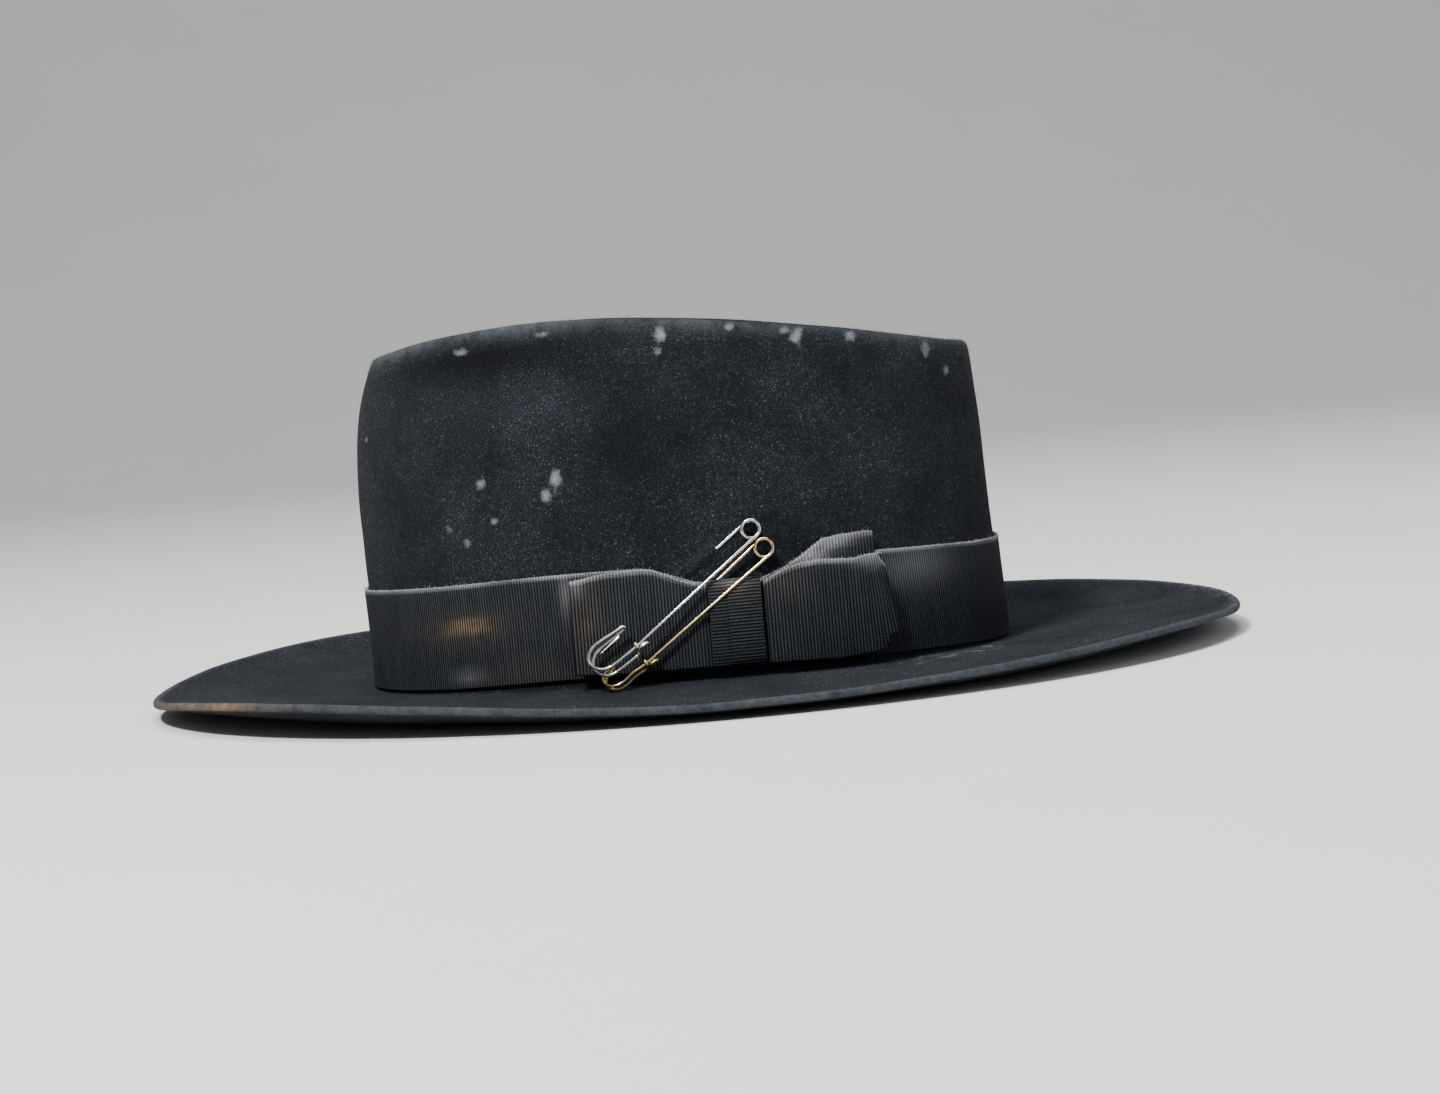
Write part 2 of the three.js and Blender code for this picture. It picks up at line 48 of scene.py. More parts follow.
# ---- The felt's upper face: the same surface that the CAD is lofted from ----
FELT = 2.2  # thickness
# Heights round the hat: terms of a cosine series in the angle.
RIM_HEIGHT = [109.1, -6.4, -5.2, 1.0]  # top of the crown's rim
BRIM_EDGE_HEIGHT = [8.3, -0.1, 0.9, 1.2, -1.8]
BREAK_HEIGHT = [4.05, 0, -1.15]  # where the crown meets the brim
BRIM_LOW_HEIGHT = [2.75, 0, 1.25]  # lowest stretch of the brim
# The crown's wall from its rim down: share of its height, and how far it reaches in front, behind and aside.
WALL = [
    (1.0, 94.8, 95.4, 66.0),
    (0.945, 98.4, 96.2, 68.2),
    (0.86, 101.2, 96.7, 70.6),
    (0.74, 103.3, 97.5, 73.4),
    (0.6, 104.3, 98.2, 76.4),
    (0.46, 104.3, 98.7, 79.6),
    (0.3, 103.4, 99.6, 82.8),
    (0.14, 103.3, 100.8, 85.3),
    (0.03, 103.3, 101.2, 86.0),
    (0.0, 103.4, 101.3, 86.1),
]
RIM_LIFT = 0.4  # the rim's control point stands this far over the rim it makes
RIM_EGG = 0.13  # how much narrower the rim is in front than behind
# The crown's top from its middle out: share of the way to the rim, and share of the way up to it.
HOLLOW = [(0.0, 0.0), (0.3, 0.02), (0.56, 0.07), (0.76, 0.34), (0.9, 0.86)]
HOLLOW_FLOOR = 92
HOLLOW_SLOPE = -0.05
HOLLOW_CENTRE_X = 4
# The brim from the wall out: share of the way to its edge, share of the way down to its lowest stretch, and
# share of the way from there to the edge's height.
BRIM = [
    (0.03, 0.05, 0),
    (0.12, 0.35, 0),
    (0.36, 0.85, 0),
    (0.6, 1.0, 0),
    (0.82, 1.0, 0.4),
    (0.94, 1.0, 0.8),
    (1.0, 1.0, 1.0),
]
BRIM_REACH = (174.5, 175.5, 151)  # in front, behind and at each side
PINCH = {"x": -56, "z": 98, "long": 30, "tall": 9.5, "deep": 6.5}

# Where along a profile its rim, its foot and its edge are.
RIM_V = len(HOLLOW)
FOOT_V = RIM_V + len(WALL) - 1
EDGE_V = FOOT_V + len(BRIM)


def series(terms, angle):
    return sum(term * np.cos(k * angle) for k, term in enumerate(terms))


def oval(angle, front, rear, half, egg=0.0):
    x = (rear - front) / 2 + (rear + front) / 2 * np.cos(angle)
    return x, half * np.sin(angle) * (1 + egg * np.cos(angle))


def lerp(a, b, t):
    return a + (b - a) * t


def bell(value, middle, width):
    """1 at the middle, falling off smoothly on both sides."""
    return np.exp(-(((value - middle) / width) ** 2))


def profile(angle):
    """The spline's control points for each angle, from the middle of the crown's top to the brim's edge."""
    rim = series(RIM_HEIGHT, angle) + RIM_LIFT
    rim_x, rim_y = oval(angle, *WALL[0][1:], RIM_EGG)
    points = []
    for out, up in HOLLOW:
        x = lerp(HOLLOW_CENTRE_X, rim_x, out)
        points.append((x, rim_y * out, lerp(HOLLOW_FLOOR + HOLLOW_SLOPE * x, rim, up)))
    foot = series(BREAK_HEIGHT, angle)
    for share, front, rear, half in WALL:
        x, y = oval(angle, front, rear, half, RIM_EGG * share)
        points.append((x, y, lerp(foot, rim, share)))
    base_x, base_y, _ = points[-1]
    low = series(BRIM_LOW_HEIGHT, angle)
    edge = series(BRIM_EDGE_HEIGHT, angle)
    edge_x, edge_y = oval(angle, *BRIM_REACH)
    for out, down, up in BRIM:
        z = lerp(lerp(foot, low, down), edge, up)
        points.append((lerp(base_x, edge_x, out), lerp(base_y, edge_y, out), z))
    return np.stack([np.stack(np.broadcast_arrays(*p), -1) for p in points], -2)


def spline(points, v):
    """Points of a uniform cubic B-spline that starts and ends on its end points."""
    first = 2 * points[..., :1, :] - points[..., 1:2, :]
    last = 2 * points[..., -1:, :] - points[..., -2:-1, :]
    points = np.concatenate([first, points, last], -2)
    i = np.minimum(np.floor(v), points.shape[-2] - 4).astype(int)
    t = v - i
    weights = ((1 - t) ** 3, 3 * t**3 - 6 * t**2 + 4, -3 * t**3 + 3 * t**2 + 3 * t + 1, t**3)
    total = 0
    for k, weight in enumerate(weights):
        index = np.broadcast_to((i + k)[..., None, None], (*i.shape, 1, 3))
        total = total + weight[..., None] / 6 * np.take_along_axis(points, index, -2)[..., 0, :]
    return total


def face(angle, v):
    angle, v = np.broadcast_arrays(np.asarray(angle, float), np.asarray(v, float))
    point = spline(profile(angle), v).copy()
    across = (point[..., 0] - PINCH["x"]) / PINCH["long"]
    up = (point[..., 2] - PINCH["z"]) / PINCH["tall"]
    point[..., 1] -= PINCH["deep"] * np.sin(angle) * bell(across, 0, 1) * bell(up, 0, 1)
    return point


def unit(vectors):
    return vectors / np.maximum(np.linalg.norm(vectors, axis=-1, keepdims=True), 1e-12)


def face_normal(angle, v, step=1e-3):
    along = face(angle, np.minimum(v + step, EDGE_V)) - face(angle, np.maximum(v - step, 0))
    around = face(angle + step, v) - face(angle - step, v)
    return unit(np.cross(along, around))


# ---- The wall as a table, by angle and height, so that ribbons can be laid on it ----
WALL_ANGLES = np.linspace(-math.pi, math.pi, 721)
WALL_HEIGHTS = np.linspace(3.0, 86.0, 167)


def wall_table():
    v = np.linspace(RIM_V + 0.5, FOOT_V, 260)
    points = face(WALL_ANGLES[:, None], v[None, :])
    normals = face_normal(WALL_ANGLES[:, None], v[None, :])
    both = np.concatenate([points, normals], -1)
    rows = []
    for row in both:
        heights = row[::-1, 2]
        rows.append(np.stack([np.interp(WALL_HEIGHTS, heights, row[::-1, k]) for k in range(6)], -1))
    return np.stack(rows)


WALL_TABLE = wall_table()


def on_wall(angle, z, depth):
    """Points off the crown's wall, by angle and height, `depth` outwards from the felt."""
    angle, z, depth = np.broadcast_arrays(angle, z, depth)
    turn = (np.asarray(angle, float) + math.pi) % (2 * math.pi)
    i = turn / (WALL_ANGLES[1] - WALL_ANGLES[0])
    k = (z - WALL_HEIGHTS[0]) / (WALL_HEIGHTS[1] - WALL_HEIGHTS[0])
    i0 = np.clip(np.floor(i).astype(int), 0, len(WALL_ANGLES) - 2)
    k0 = np.clip(np.floor(k).astype(int), 0, len(WALL_HEIGHTS) - 2)
    ti, tk = (i - i0)[..., None], np.clip(k - k0, 0, 1)[..., None]
    low = lerp(WALL_TABLE[i0, k0], WALL_TABLE[i0 + 1, k0], ti)
    high = lerp(WALL_TABLE[i0, k0 + 1], WALL_TABLE[i0 + 1, k0 + 1], ti)
    found = lerp(low, high, tk)
    point = found[..., :3].copy()
    point[..., 2] = np.where(k < 0, z, point[..., 2])
    return point + unit(found[..., 3:]) * np.asarray(depth, float)[..., None]


def side_angle(x, z):
    """The angle of the wearer's left wall at x, for each height."""
    x, z = np.broadcast_arrays(np.asarray(x, float), np.asarray(z, float))
    low, high = np.full(x.shape, -math.pi), np.zeros(x.shape)
    for _ in range(22):
        middle = (low + high) / 2
        short = on_wall(middle, z, 0)[..., 0] < x
        low, high = np.where(short, middle, low), np.where(short, high, middle)
    return (low + high) / 2


def on_side(x, z, depth):
    return on_wall(side_angle(x, z), z, depth)


# ---- Meshes ----
def full_turn(count):
    """Angles all the way round, without the last one, which is the first again."""
    return np.linspace(0, 2 * math.pi, count, endpoint=False)


def faces_of_grid(rows, columns, wrap_rows, wrap_columns):
    """Four-sided faces over a grid of points, which may be joined end to end either way."""
    r = np.arange(rows if wrap_rows else rows - 1)[:, None]
    c = np.arange(columns if wrap_columns else columns - 1)[None, :]
    r1, c1 = (r + 1) % rows, (c + 1) % columns
    corners = (r * columns + c, r * columns + c1, r1 * columns + c1, r1 * columns + c)
    return np.stack(np.broadcast_arrays(*corners), -1).reshape(-1, 4)


def add_object(name, data):
    obj = bpy.data.objects.new(name, data)
    bpy.context.scene.collection.objects.link(obj)
    return obj


def mesh_object(name, vertices, polygons, material):
    """A smooth mesh from points in millimetres."""
    mesh = bpy.data.meshes.new(name)
    mesh.from_pydata(np.asarray(vertices) * MM, [], polygons)
    mesh.validate()
    mesh.update()
    mesh.shade_smooth()
    mesh.materials.append(material)
    return add_object(name, mesh)


def add_piece(name, vertices, polygons, material, body="hat"):
    piece = mesh_object(name, vertices, polygons, material)
    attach(piece, body)
    return piece


def loft(name, rings, material, closed=False, values=None, body="hat"):
    """A closed solid from rings of points. It is capped unless it is `closed`: the last ring joins the first.
    `values` are named numbers or pairs for each point, which the materials read."""
    rings = np.asarray(rings, float)
    count, size, _ = rings.shape
    vertices = rings.reshape(-1, 3)
    quads = faces_of_grid(count, size, closed, True)
    a, b, c, d = (vertices[quads[:, k]] for k in range(4))
    volume = (np.cross(b - a, c - a) * a).sum() + (np.cross(c - a, d - a) * a).sum()
    first_cap = np.arange(size)[::-1]
    last_cap = np.arange(size) + (count - 1) * size
    if volume < 0:
        quads, first_cap, last_cap = quads[:, ::-1], first_cap[::-1], last_cap[::-1]
    polygons = quads.tolist()
    if not closed:
        polygons += [first_cap.tolist(), last_cap.tolist()]
    piece = add_piece(name, vertices, polygons, material, body)
    for key, value in (values or {}).items():
        flat = np.asarray(value, np.float32).reshape(len(vertices), -1)
        if flat.shape[1] == 1:
            attribute = piece.data.attributes.new(key, "FLOAT", "POINT")
            attribute.data.foreach_set("value", flat.ravel())
        else:
            flat = np.pad(flat, ((0, 0), (0, 1)))
            attribute = piece.data.attributes.new(key, "FLOAT_VECTOR", "POINT")
            attribute.data.foreach_set("vector", flat.ravel())
    return piece


def rings_round(path, ahead, first, radius, sides):
    """Rings of points round the points of a path, each starting in the direction `first`."""
    turn = full_turn(sides)[:, None]
    second = np.cross(ahead, first)[..., None, :]
    return path[..., None, :] + radius * (np.cos(turn) * first[..., None, :] + np.sin(turn) * second)


def tube(name, path, radius, material, guide, body="hat"):
    """A round wire along a path, whose rings start towards `guide`. It may have a radius for each point."""
    ahead = unit(np.gradient(path, axis=0))
    first = unit(guide - ahead * (ahead @ guide)[:, None])
    radius = np.broadcast_to(radius, len(path))[:, None, None]
    return loft(name, rings_round(path, ahead, first, radius, 16), material, body=body)


def short_tubes(name, rings, material):
    """Capped tubes joined in one piece. `rings` holds each tube's rings of points."""
    count, steps, sides, _ = rings.shape
    start = (np.arange(count) * steps * sides)[:, None, None]
    walls = (faces_of_grid(steps, sides, False, True)[None] + start).reshape(-1, 4).tolist()
    foot, tip = np.arange(sides)[::-1], np.arange(sides) + (steps - 1) * sides
    caps = np.concatenate([foot + start[:, 0], tip + start[:, 0]]).tolist()
    return add_piece(name, rings.reshape(-1, 3), walls + caps, material)


# ---- Paths, soft spots and waves ----
def travel(path):
    """How far along the path each of its points is."""
    return np.concatenate([[0], np.cumsum(np.linalg.norm(np.diff(path, axis=0), axis=1))])


def even(path, count):
    """The same path in `count` even steps, and how far along it each step is."""
    length = travel(path)
    at = np.linspace(0, length[-1], count + 1)
    return np.stack([np.interp(at, length, path[:, k]) for k in range(path.shape[1])], -1), at


def smooth_path(corners, spacing):
    """A path near the corners, which are cut off four times over (Chaikin's way), in even steps."""
    path = np.asarray(corners, float)
    for _ in range(4):
        early = 0.75 * path[:-1] + 0.25 * path[1:]
        late = 0.25 * path[:-1] + 0.75 * path[1:]
        path = np.concatenate([path[:1], np.stack([early, late], 1).reshape(-1, path.shape[1]), path[-1:]])
    return even(path, int(travel(path)[-1] / spacing))


def rise(value, start, end):
    """0 up to `start`, 1 from `end` on, and straight in between."""
    return np.clip((value - start) / (end - start), 0, 1)


def spots(x, z, places):
    """The sum of soft spots, each given by x, height, half width, half height and strength."""
    return sum(strength * bell(x, px, wide) * bell(z, pz, tall) for px, pz, wide, tall, strength in places)


# Shares of each place in the three waves that make a ripple.
RIPPLES = ((1.0, 0.31, 0.53), (0.47, 1.13, -0.61), (-0.71, 0.83, 1.29))


def ripple(*places, seed=0.0):
    """A smooth wave between -1 and 1 that never quite repeats."""
    total = 0
    for k, shares in enumerate(RIPPLES):
        total = total + np.sin(sum(share * place for share, place in zip(shares, places)) + seed + 2.1 * k)
    return total / 3


# ---- Materials ----
class Nodes:
    """A short way to write a material's node tree."""

    SHORT = {"color": "Base Color", "specular": "Specular IOR Level", "ior": "IOR", "sheen": "Sheen Weight"}

    def __init__(self, name):
        self.material = bpy.data.materials.new(name)
        self.material.use_nodes = True
        self.tree = self.material.node_tree
        self.shader = self.tree.nodes["Principled BSDF"]

    def add(self, kind, inputs=None, **settings):
        node = self.tree.nodes.new("ShaderNode" + kind)
        for key, value in settings.items():
            setattr(node, key, value)
        for key, value in (inputs or {}).items():
            self.set(node, key, value)
        return node

    def set(self, node, key, value):
        socket = node.inputs[key]
        if isinstance(value, bpy.types.NodeSocket):
            self.tree.links.new(value, socket)
        else:
            socket.default_value = value

    def surface(self, **values):
        """Sets the shader's sockets and gives the finished material."""
        for key, value in values.items():
            self.set(self.shader, self.SHORT.get(key, key.replace("_", " ").title()), value)
        return self.material

    def place(self):
        return self.add("TexCoord").outputs["Object"]

    def attribute(self, name, vector=False):
        node = self.add("Attribute", attribute_name=name)
        return node.outputs["Vector" if vector else "Fac"]

    def noise(self, where, scale, detail, roughness, stretch=None):
        if stretch:
            where = self.add("Mapping", {"Vector": where, "Scale": stretch}).outputs[0]
        inputs = {"Vector": where, "Scale": scale, "Detail": detail, "Roughness": roughness}
        return self.add("TexNoise", inputs).outputs[0]

    def ramp(self, value, low, high, to_low=0.0, to_high=1.0):
        inputs = {"Value": value, "From Min": low, "From Max": high, "To Min": to_low, "To Max": to_high}
        return self.add("MapRange", inputs, clamp=True).outputs[0]

    def math(self, operation, a, b):
        return self.add("Math", {0: a, 1: b}, operation=operation).outputs[0]

    def times(self, a, b):
        return self.math("MULTIPLY", a, b)

    def mix(self, share, a, b):
        """`share` of the way from colour `a` to colour `b`."""
        a, b = ((*color, 1.0) if isinstance(color, tuple) else color for color in (a, b))
        return self.add("Mix", {0: share, 6: a, 7: b}, data_type="RGBA").outputs[2]

    def bump(self, height, strength, distance, before=None):
        inputs = {"Height": height, "Strength": strength, "Distance": distance}
        if before is not None:
            inputs["Normal"] = before
        return self.add("Bump", inputs).outputs[0]


def scaled(color, by):
    return tuple(channel * by for channel in color)


def felt_material():
    m = Nodes("black_fur_felt")
    where = m.place()
    upright = m.ramp(m.noise(where, 2600, 3, 0.65, stretch=(1.0, 1.0, 0.24)), 0.55, 0.72)
    level = m.ramp(m.noise(where, 2600, 3, 0.65, stretch=(0.24, 0.3, 1.0)), 0.55, 0.72)
    fleck = m.ramp(m.noise(where, 1500, 6, 0.85), 0.5, 0.72)
    speck = m.ramp(m.noise(where, 1900, 4, 0.75), 0.59, 0.7)
    patch = m.noise(where, 30, 4, 0.66)
    base = m.mix(m.ramp(patch, 0.36, 0.66), (0.0034, 0.0044, 0.0062), (0.0082, 0.0104, 0.0138))
    # What lies in the felt: its mask, how much of it shows in dark and in pale patches, and its colour.
    layers = (
        (m.math("MAXIMUM", upright, level), 0.2, 0.6, (0.03, 0.034, 0.041)),
        (fleck, 0.18, 0.75, (0.063, 0.07, 0.082)),
        (speck, 0.15, 1.0, (0.31, 0.33, 0.36)),
    )
    for mask, in_dark, in_pale, color in layers:
        base = m.mix(m.times(mask, m.ramp(patch, 0.32, 0.68, in_dark, in_pale)), base, color)
    # Painted shade: the pinch under the front rim is darkened to near black.
    base = m.mix(m.attribute("painted_shade"), base, (0.0028, 0.0033, 0.0042))
    # Pale felt along the rim and the brim's edge: partly real wear, partly painted highlight where light
    # catches them.
    wear_and_highlight = m.times(m.attribute("wear_and_highlight"), m.ramp(m.noise(where, 190, 6, 0.75), 0.3, 0.68))
    base = m.mix(wear_and_highlight, base, (0.12, 0.132, 0.146))
    broken = m.ramp(m.noise(where, 210, 7, 0.85), 0.3, 0.7, -0.5, 0.5)
    halo = m.ramp(m.attribute("dust"), 0.45, 1.0, 0.0, 0.3)
    dust = m.math("MAXIMUM", m.ramp(m.math("ADD", m.attribute("dust"), broken), 0.35, 1.4), halo)
    base = m.mix(dust, base, (0.4, 0.42, 0.44))
    # The brim's cut edge: paler felt, and painted highlight on its rounded top that fades into the brim.
    raw_edge_and_highlight = m.mix(m.ramp(m.noise(where, 420, 5, 0.8), 0.3, 0.7), (0.024, 0.028, 0.034), (0.085, 0.094, 0.108))
    base = m.mix(m.times(m.attribute("edge"), m.ramp(m.noise(where, 46, 4, 0.6), 0.25, 0.6)), base, raw_edge_and_highlight)
    brown = m.times(m.attribute("scuff"), m.ramp(m.noise(where, 240, 5, 0.75), 0.38, 0.62))
    base = m.mix(brown, base, (0.22, 0.145, 0.08))
    normal = m.bump(m.noise(where, 560, 6, 0.8), 0.8, 0.0011)
    normal = m.bump(m.noise(where, 2400, 3, 0.7), 0.6, 0.0004, normal)
    return m.surface(color=base, roughness=1.0, specular=0.07, sheen=0.05, sheen_roughness=0.6,
                     sheen_tint=(0.7, 0.75, 0.85, 1), normal=normal)


def ribbon_material(name, groove_shade, crest_and_highlight):
    """Ribbed ribbon: dark painted shade between the ribs, its colour with painted highlight on top of them.
    """
    m = Nodes(name)
    where = m.place()
    weave = m.attribute("weave", vector=True)
    thread = m.add("TexWave", {"Vector": weave, "Scale": 0.9, "Distortion": 1.2, "Detail": 2.0},
                   wave_type="BANDS", bands_direction="Y").outputs[1]
    streak = m.noise(weave, 0.9, 3, 0.6, stretch=(1.0, 0.06, 1.0))
    fray = m.noise(weave, 2.6, 5, 0.85)
    # The ribs' height sets the painted shade in the grooves and the painted highlight on the crests.
    top = m.math("POWER", m.attribute("rib"), 3.0)
    lit = m.mix(m.ramp(fray, 0.36, 0.6), scaled(crest_and_highlight, 0.25), crest_and_highlight)
    lit = m.mix(m.times(m.ramp(fray, 0.53, 0.68), 0.9), lit, scaled(crest_and_highlight, 4.4))
    lit = m.mix(m.times(m.ramp(streak, 0.42, 0.72), 0.6), lit, scaled(crest_and_highlight, 1.9))
    stain = m.times(m.attribute("stain"), m.ramp(m.noise(where, 230, 4, 0.7), 0.15, 0.55))
    lit = m.mix(stain, lit, (0.105, 0.089, 0.068))
    lit = m.mix(m.times(stain, m.ramp(m.attribute("stain"), 0.6, 1.0)), lit, (0.27, 0.195, 0.115))
    base = m.mix(top, groove_shade, lit)
    lint = m.ramp(m.noise(weave, 1.9, 3, 0.85), 0.68, 0.77)
    base = m.mix(m.times(lint, 0.6), base, (0.2, 0.21, 0.22))
    powder = m.times(m.ramp(m.noise(weave, 3.4, 5, 0.85), 0.36, 0.6), m.ramp(top, 0.0, 1.0, 0.35, 1.0))
    base = m.mix(m.times(m.attribute("dust"), powder), base, (0.58, 0.59, 0.61))
    normal = m.bump(thread, 0.35, 0.00012)
    normal = m.bump(fray, 0.35, 0.00014, normal)
    return m.surface(color=base, roughness=m.ramp(streak, 0.2, 0.8, 0.68, 0.84), specular=0.12, normal=normal)


def leather_material():
    m = Nodes("sweatband_leather")
    where = m.place()
    cells = m.add("TexVoronoi", {"Vector": where, "Scale": 1150.0}, feature="DISTANCE_TO_EDGE").outputs[0]
    crease = m.noise(where, 170, 5, 0.65)
    stain = m.ramp(m.noise(where, 24, 3, 0.6), 0.38, 0.68)
    base = m.mix(stain, (0.095, 0.05, 0.026), (0.045, 0.023, 0.013))
    base = m.mix(m.ramp(crease, 0.55, 0.75), base, (0.14, 0.08, 0.042))
    normal = m.bump(m.ramp(cells, 0.0, 0.12), 0.25, 0.00022)
    normal = m.bump(crease, 0.3, 0.0006, normal)
    rough = m.ramp(crease, 0.3, 0.75, 0.38, 0.58)
    return m.surface(color=base, roughness=rough, specular=0.45, normal=normal)


def satin_material():
    m = Nodes("lining_satin")
    where = m.place()
    fold = m.noise(where, 26, 3, 0.5, stretch=(1.0, 1.0, 0.35))
    thread = m.noise(where, 1800, 2, 0.6, stretch=(1.0, 1.0, 0.12))
    base = m.mix(m.ramp(fold, 0.3, 0.7), (0.02, 0.021, 0.026), (0.045, 0.047, 0.056))
    normal = m.bump(fold, 0.25, 0.002)
    normal = m.bump(thread, 0.2, 0.0001, normal)
    return m.surface(color=base, roughness=m.ramp(thread, 0.3, 0.7, 0.3, 0.42), specular=0.6, anisotropic=0.5,
                     sheen=0.3, sheen_roughness=0.3, normal=normal)


def clear_material():
    m = Nodes("clear_film")
    where = m.place()
    wave = m.noise(where, 60, 2, 0.5)
    haze = m.ramp(m.noise(where, 240, 4, 0.7), 0.4, 0.7, 0.08, 0.2)
    return m.surface(color=(0.85, 0.87, 0.88, 1), roughness=haze, ior=1.46, alpha=0.1, specular=0.6,
                     normal=m.bump(wave, 0.15, 0.001))


def metal_material(name, bright, worn, bare, roughness):
    m = Nodes(name)
    where = m.place()
    tarnish = m.ramp(m.noise(where, 130, 4, 0.65), 0.45, 0.72)
    base = m.mix(tarnish, bright, worn)
    base = m.mix(m.ramp(m.noise(where, 55, 2, 0.5), 0.5, 0.62), base, bare)
    scratch = m.noise(where, 3200, 3, 0.7)
    rough = m.ramp(scratch, 0.3, 0.7, roughness, roughness + 0.06)
    return m.surface(color=base, roughness=rough, metallic=1.0, normal=m.bump(scratch, 0.02, 0.00001))


def thread_material(name, color):
    m = Nodes(name)
    twist = m.noise(m.place(), 4200, 3, 0.7)
    base = m.mix(m.ramp(twist, 0.3, 0.7), scaled(color, 0.6), color)
    return m.surface(color=base, roughness=0.7, specular=0.3, sheen=0.3, normal=m.bump(twist, 0.4, 0.0001))


FELT_LOOK = felt_material()
# Ribbons: near-black painted shade in the grooves, and lighter crests with painted highlight.
BAND_LOOK = ribbon_material("black_grosgrain", (0.0005, 0.0006, 0.0009), (0.037, 0.042, 0.052))
TAPE_LOOK = ribbon_material("seam_ribbon", (0.004, 0.004, 0.005), (0.04, 0.04, 0.045))
REED_LOOK = thread_material("reed_cover", (0.022, 0.022, 0.025))
LEATHER_LOOK = leather_material()
SATIN_LOOK = satin_material()
CLEAR_LOOK = clear_material()
STEEL_LOOK = metal_material("nickel_wire", (0.86, 0.87, 0.88), (0.66, 0.65, 0.63), (0.8, 0.78, 0.74), 0.14)
BRASS_LOOK = metal_material("brass_wire", (0.8, 0.62, 0.27), (0.6, 0.44, 0.17), (0.86, 0.82, 0.7), 0.16)
LINT_LOOK = thread_material("ribbon_lint", (0.6, 0.61, 0.63))
FUZZ_LOOK = thread_material("felt_fur", (0.075, 0.082, 0.095))
PALE_THREAD_LOOK = thread_material("tan_thread", (0.3, 0.22, 0.14))


# ---- Felt body ----
# Pale worn spots on the near side: x, height, half width, half height and strength.
DUST_SPOTS = [
    (-37.0, 68.0, 2.1, 3.6, 1.0),
    (-40.5, 63.0, 1.9, 2.6, 0.95),
    (-60.5, 68.0, 1.8, 2.0, 0.95),
    (-66.0, 50.0, 1.5, 1.4, 0.8),
    (-57.0, 56.5, 1.5, 1.2, 0.75),
    (-72.0, 55.0, 1.3, 1.8, 0.75),
    (-98.0, 83.0, 0.9, 1.5, 0.8),
    (-1.5, 108.8, 2.2, 2.4, 1.0),
    (-3.0, 104.0, 1.7, 1.7, 0.8),
    (19.0, 109.3, 1.9, 1.4, 0.8),
    (39.5, 105.0, 1.9, 2.9, 1.0),
    (35.5, 107.0, 2.4, 1.3, 0.8),
    (56.0, 103.8, 1.8, 2.0, 0.85),
    (80.0, 97.5, 1.7, 3.2, 0.85),
    (86.0, 90.0, 1.4, 2.6, 0.75),
    (-38.0, 111.8, 2.6, 1.2, 0.8),
    (-64.0, 108.5, 2.6, 1.2, 0.8),
    (70.0, 60.0, 1.2, 1.0, 0.65),
    (12.0, 78.0, 1.1, 1.0, 0.6),
]
# The looks' own changes to the felt, by x, by height or by v: soft waves clear of the ribbon, a deeper pinch,
# a fuller rim, and a dimple by the gold pin's coil.
WAVES_FROM_HEIGHT = 42
WAVES_FROM_V = FOOT_V + 2.2
DEEPER = {"x": -64, "long": 24, "v": 6.3, "tall": 0.65, "deep": 2.2}
FULLER_RIM = {"v": 5.1, "wide": 0.4, "high": 0.4}
DIMPLE = {"x": 24.2, "z": 37.0, "radius": 3.0, "deep": 2.1, "lip": 0.9}
# The fold of felt that the silver needle runs under: its ends by x and height, and how wide and high it is.
# It widens for the needle's swing, by `swing` times the way from the coil, which is `before` the fold begins.
FOLD = {"from": (10.2, 43.9), "to": (-7.0, 31.0), "wide": 1.15, "high": 1.0, "swing": 0.075, "before": 11}
LIP = 0.7  # how far the brim's rounded edge stands out
# Rows along a profile and columns round the hat: from, to and how many. They are closest where the felt bends
# most and by the pins.
FELT_ROWS = [
    (0.03, 3.0, 20), (3.0, 6.4, 44), (6.4, 9.2, 20), (9.2, 11.4, 56), (11.4, 15.6, 52), (15.6, EDGE_V, 46),
]
FELT_COLUMNS = [(-math.pi, -1.78, 120), (-1.78, -1.2, 150), (-1.2, math.pi, 370)]


def spaced(spans):
    return np.concatenate([np.linspace(start, end, count, endpoint=False) for start, end, count in spans])


def needle_fold(x, z):
    start, end = np.array(FOLD["from"]), np.array(FOLD["to"])
    length = np.linalg.norm(end - start)
    way = (end - start) / length
    along = (x - start[0]) * way[0] + (z - start[1]) * way[1]
    aside = (x - start[0]) * way[1] - (z - start[1]) * way[0]
    beside = aside - np.clip(aside, 0, FOLD["swing"] * np.maximum(along + FOLD["before"], 0))
    return FOLD["high"] * rise(along, 0, 1.2) * rise(length - along, 0, 4) * bell(beside, 0, FOLD["wide"])


def felt_relief(points, v):
    """How far the felt stands off its ideal face: without the dimple, and in the dimple."""
    x, y, z = points[..., 0], points[..., 1], points[..., 2]
    near = y < 0
    shown = rise(z, WAVES_FROM_HEIGHT, WAVES_FROM_HEIGHT + 12) + rise(v, WAVES_FROM_V, WAVES_FROM_V + 1.2)
    waves = 0.35 * ripple(x / 21, y / 19, z / 16, seed=1.3) + 0.13 * ripple(x / 6.5, y / 7, z / 5.5, seed=4.1)
    pinch = bell(x, DEEPER["x"], DEEPER["long"]) * bell(v, DEEPER["v"], DEEPER["tall"])
    rim = bell(v, FULLER_RIM["v"], FULLER_RIM["wide"])
    relief = shown * waves + needle_fold(x, z) * near - DEEPER["deep"] * pinch + FULLER_RIM["high"] * rim
    out = np.hypot(x - DIMPLE["x"], z - DIMPLE["z"]) / DIMPLE["radius"]
    dimple = DIMPLE["lip"] * bell(out, 1.3, 0.3) - DIMPLE["deep"] * np.exp(-(out**4))
    return relief, dimple * near


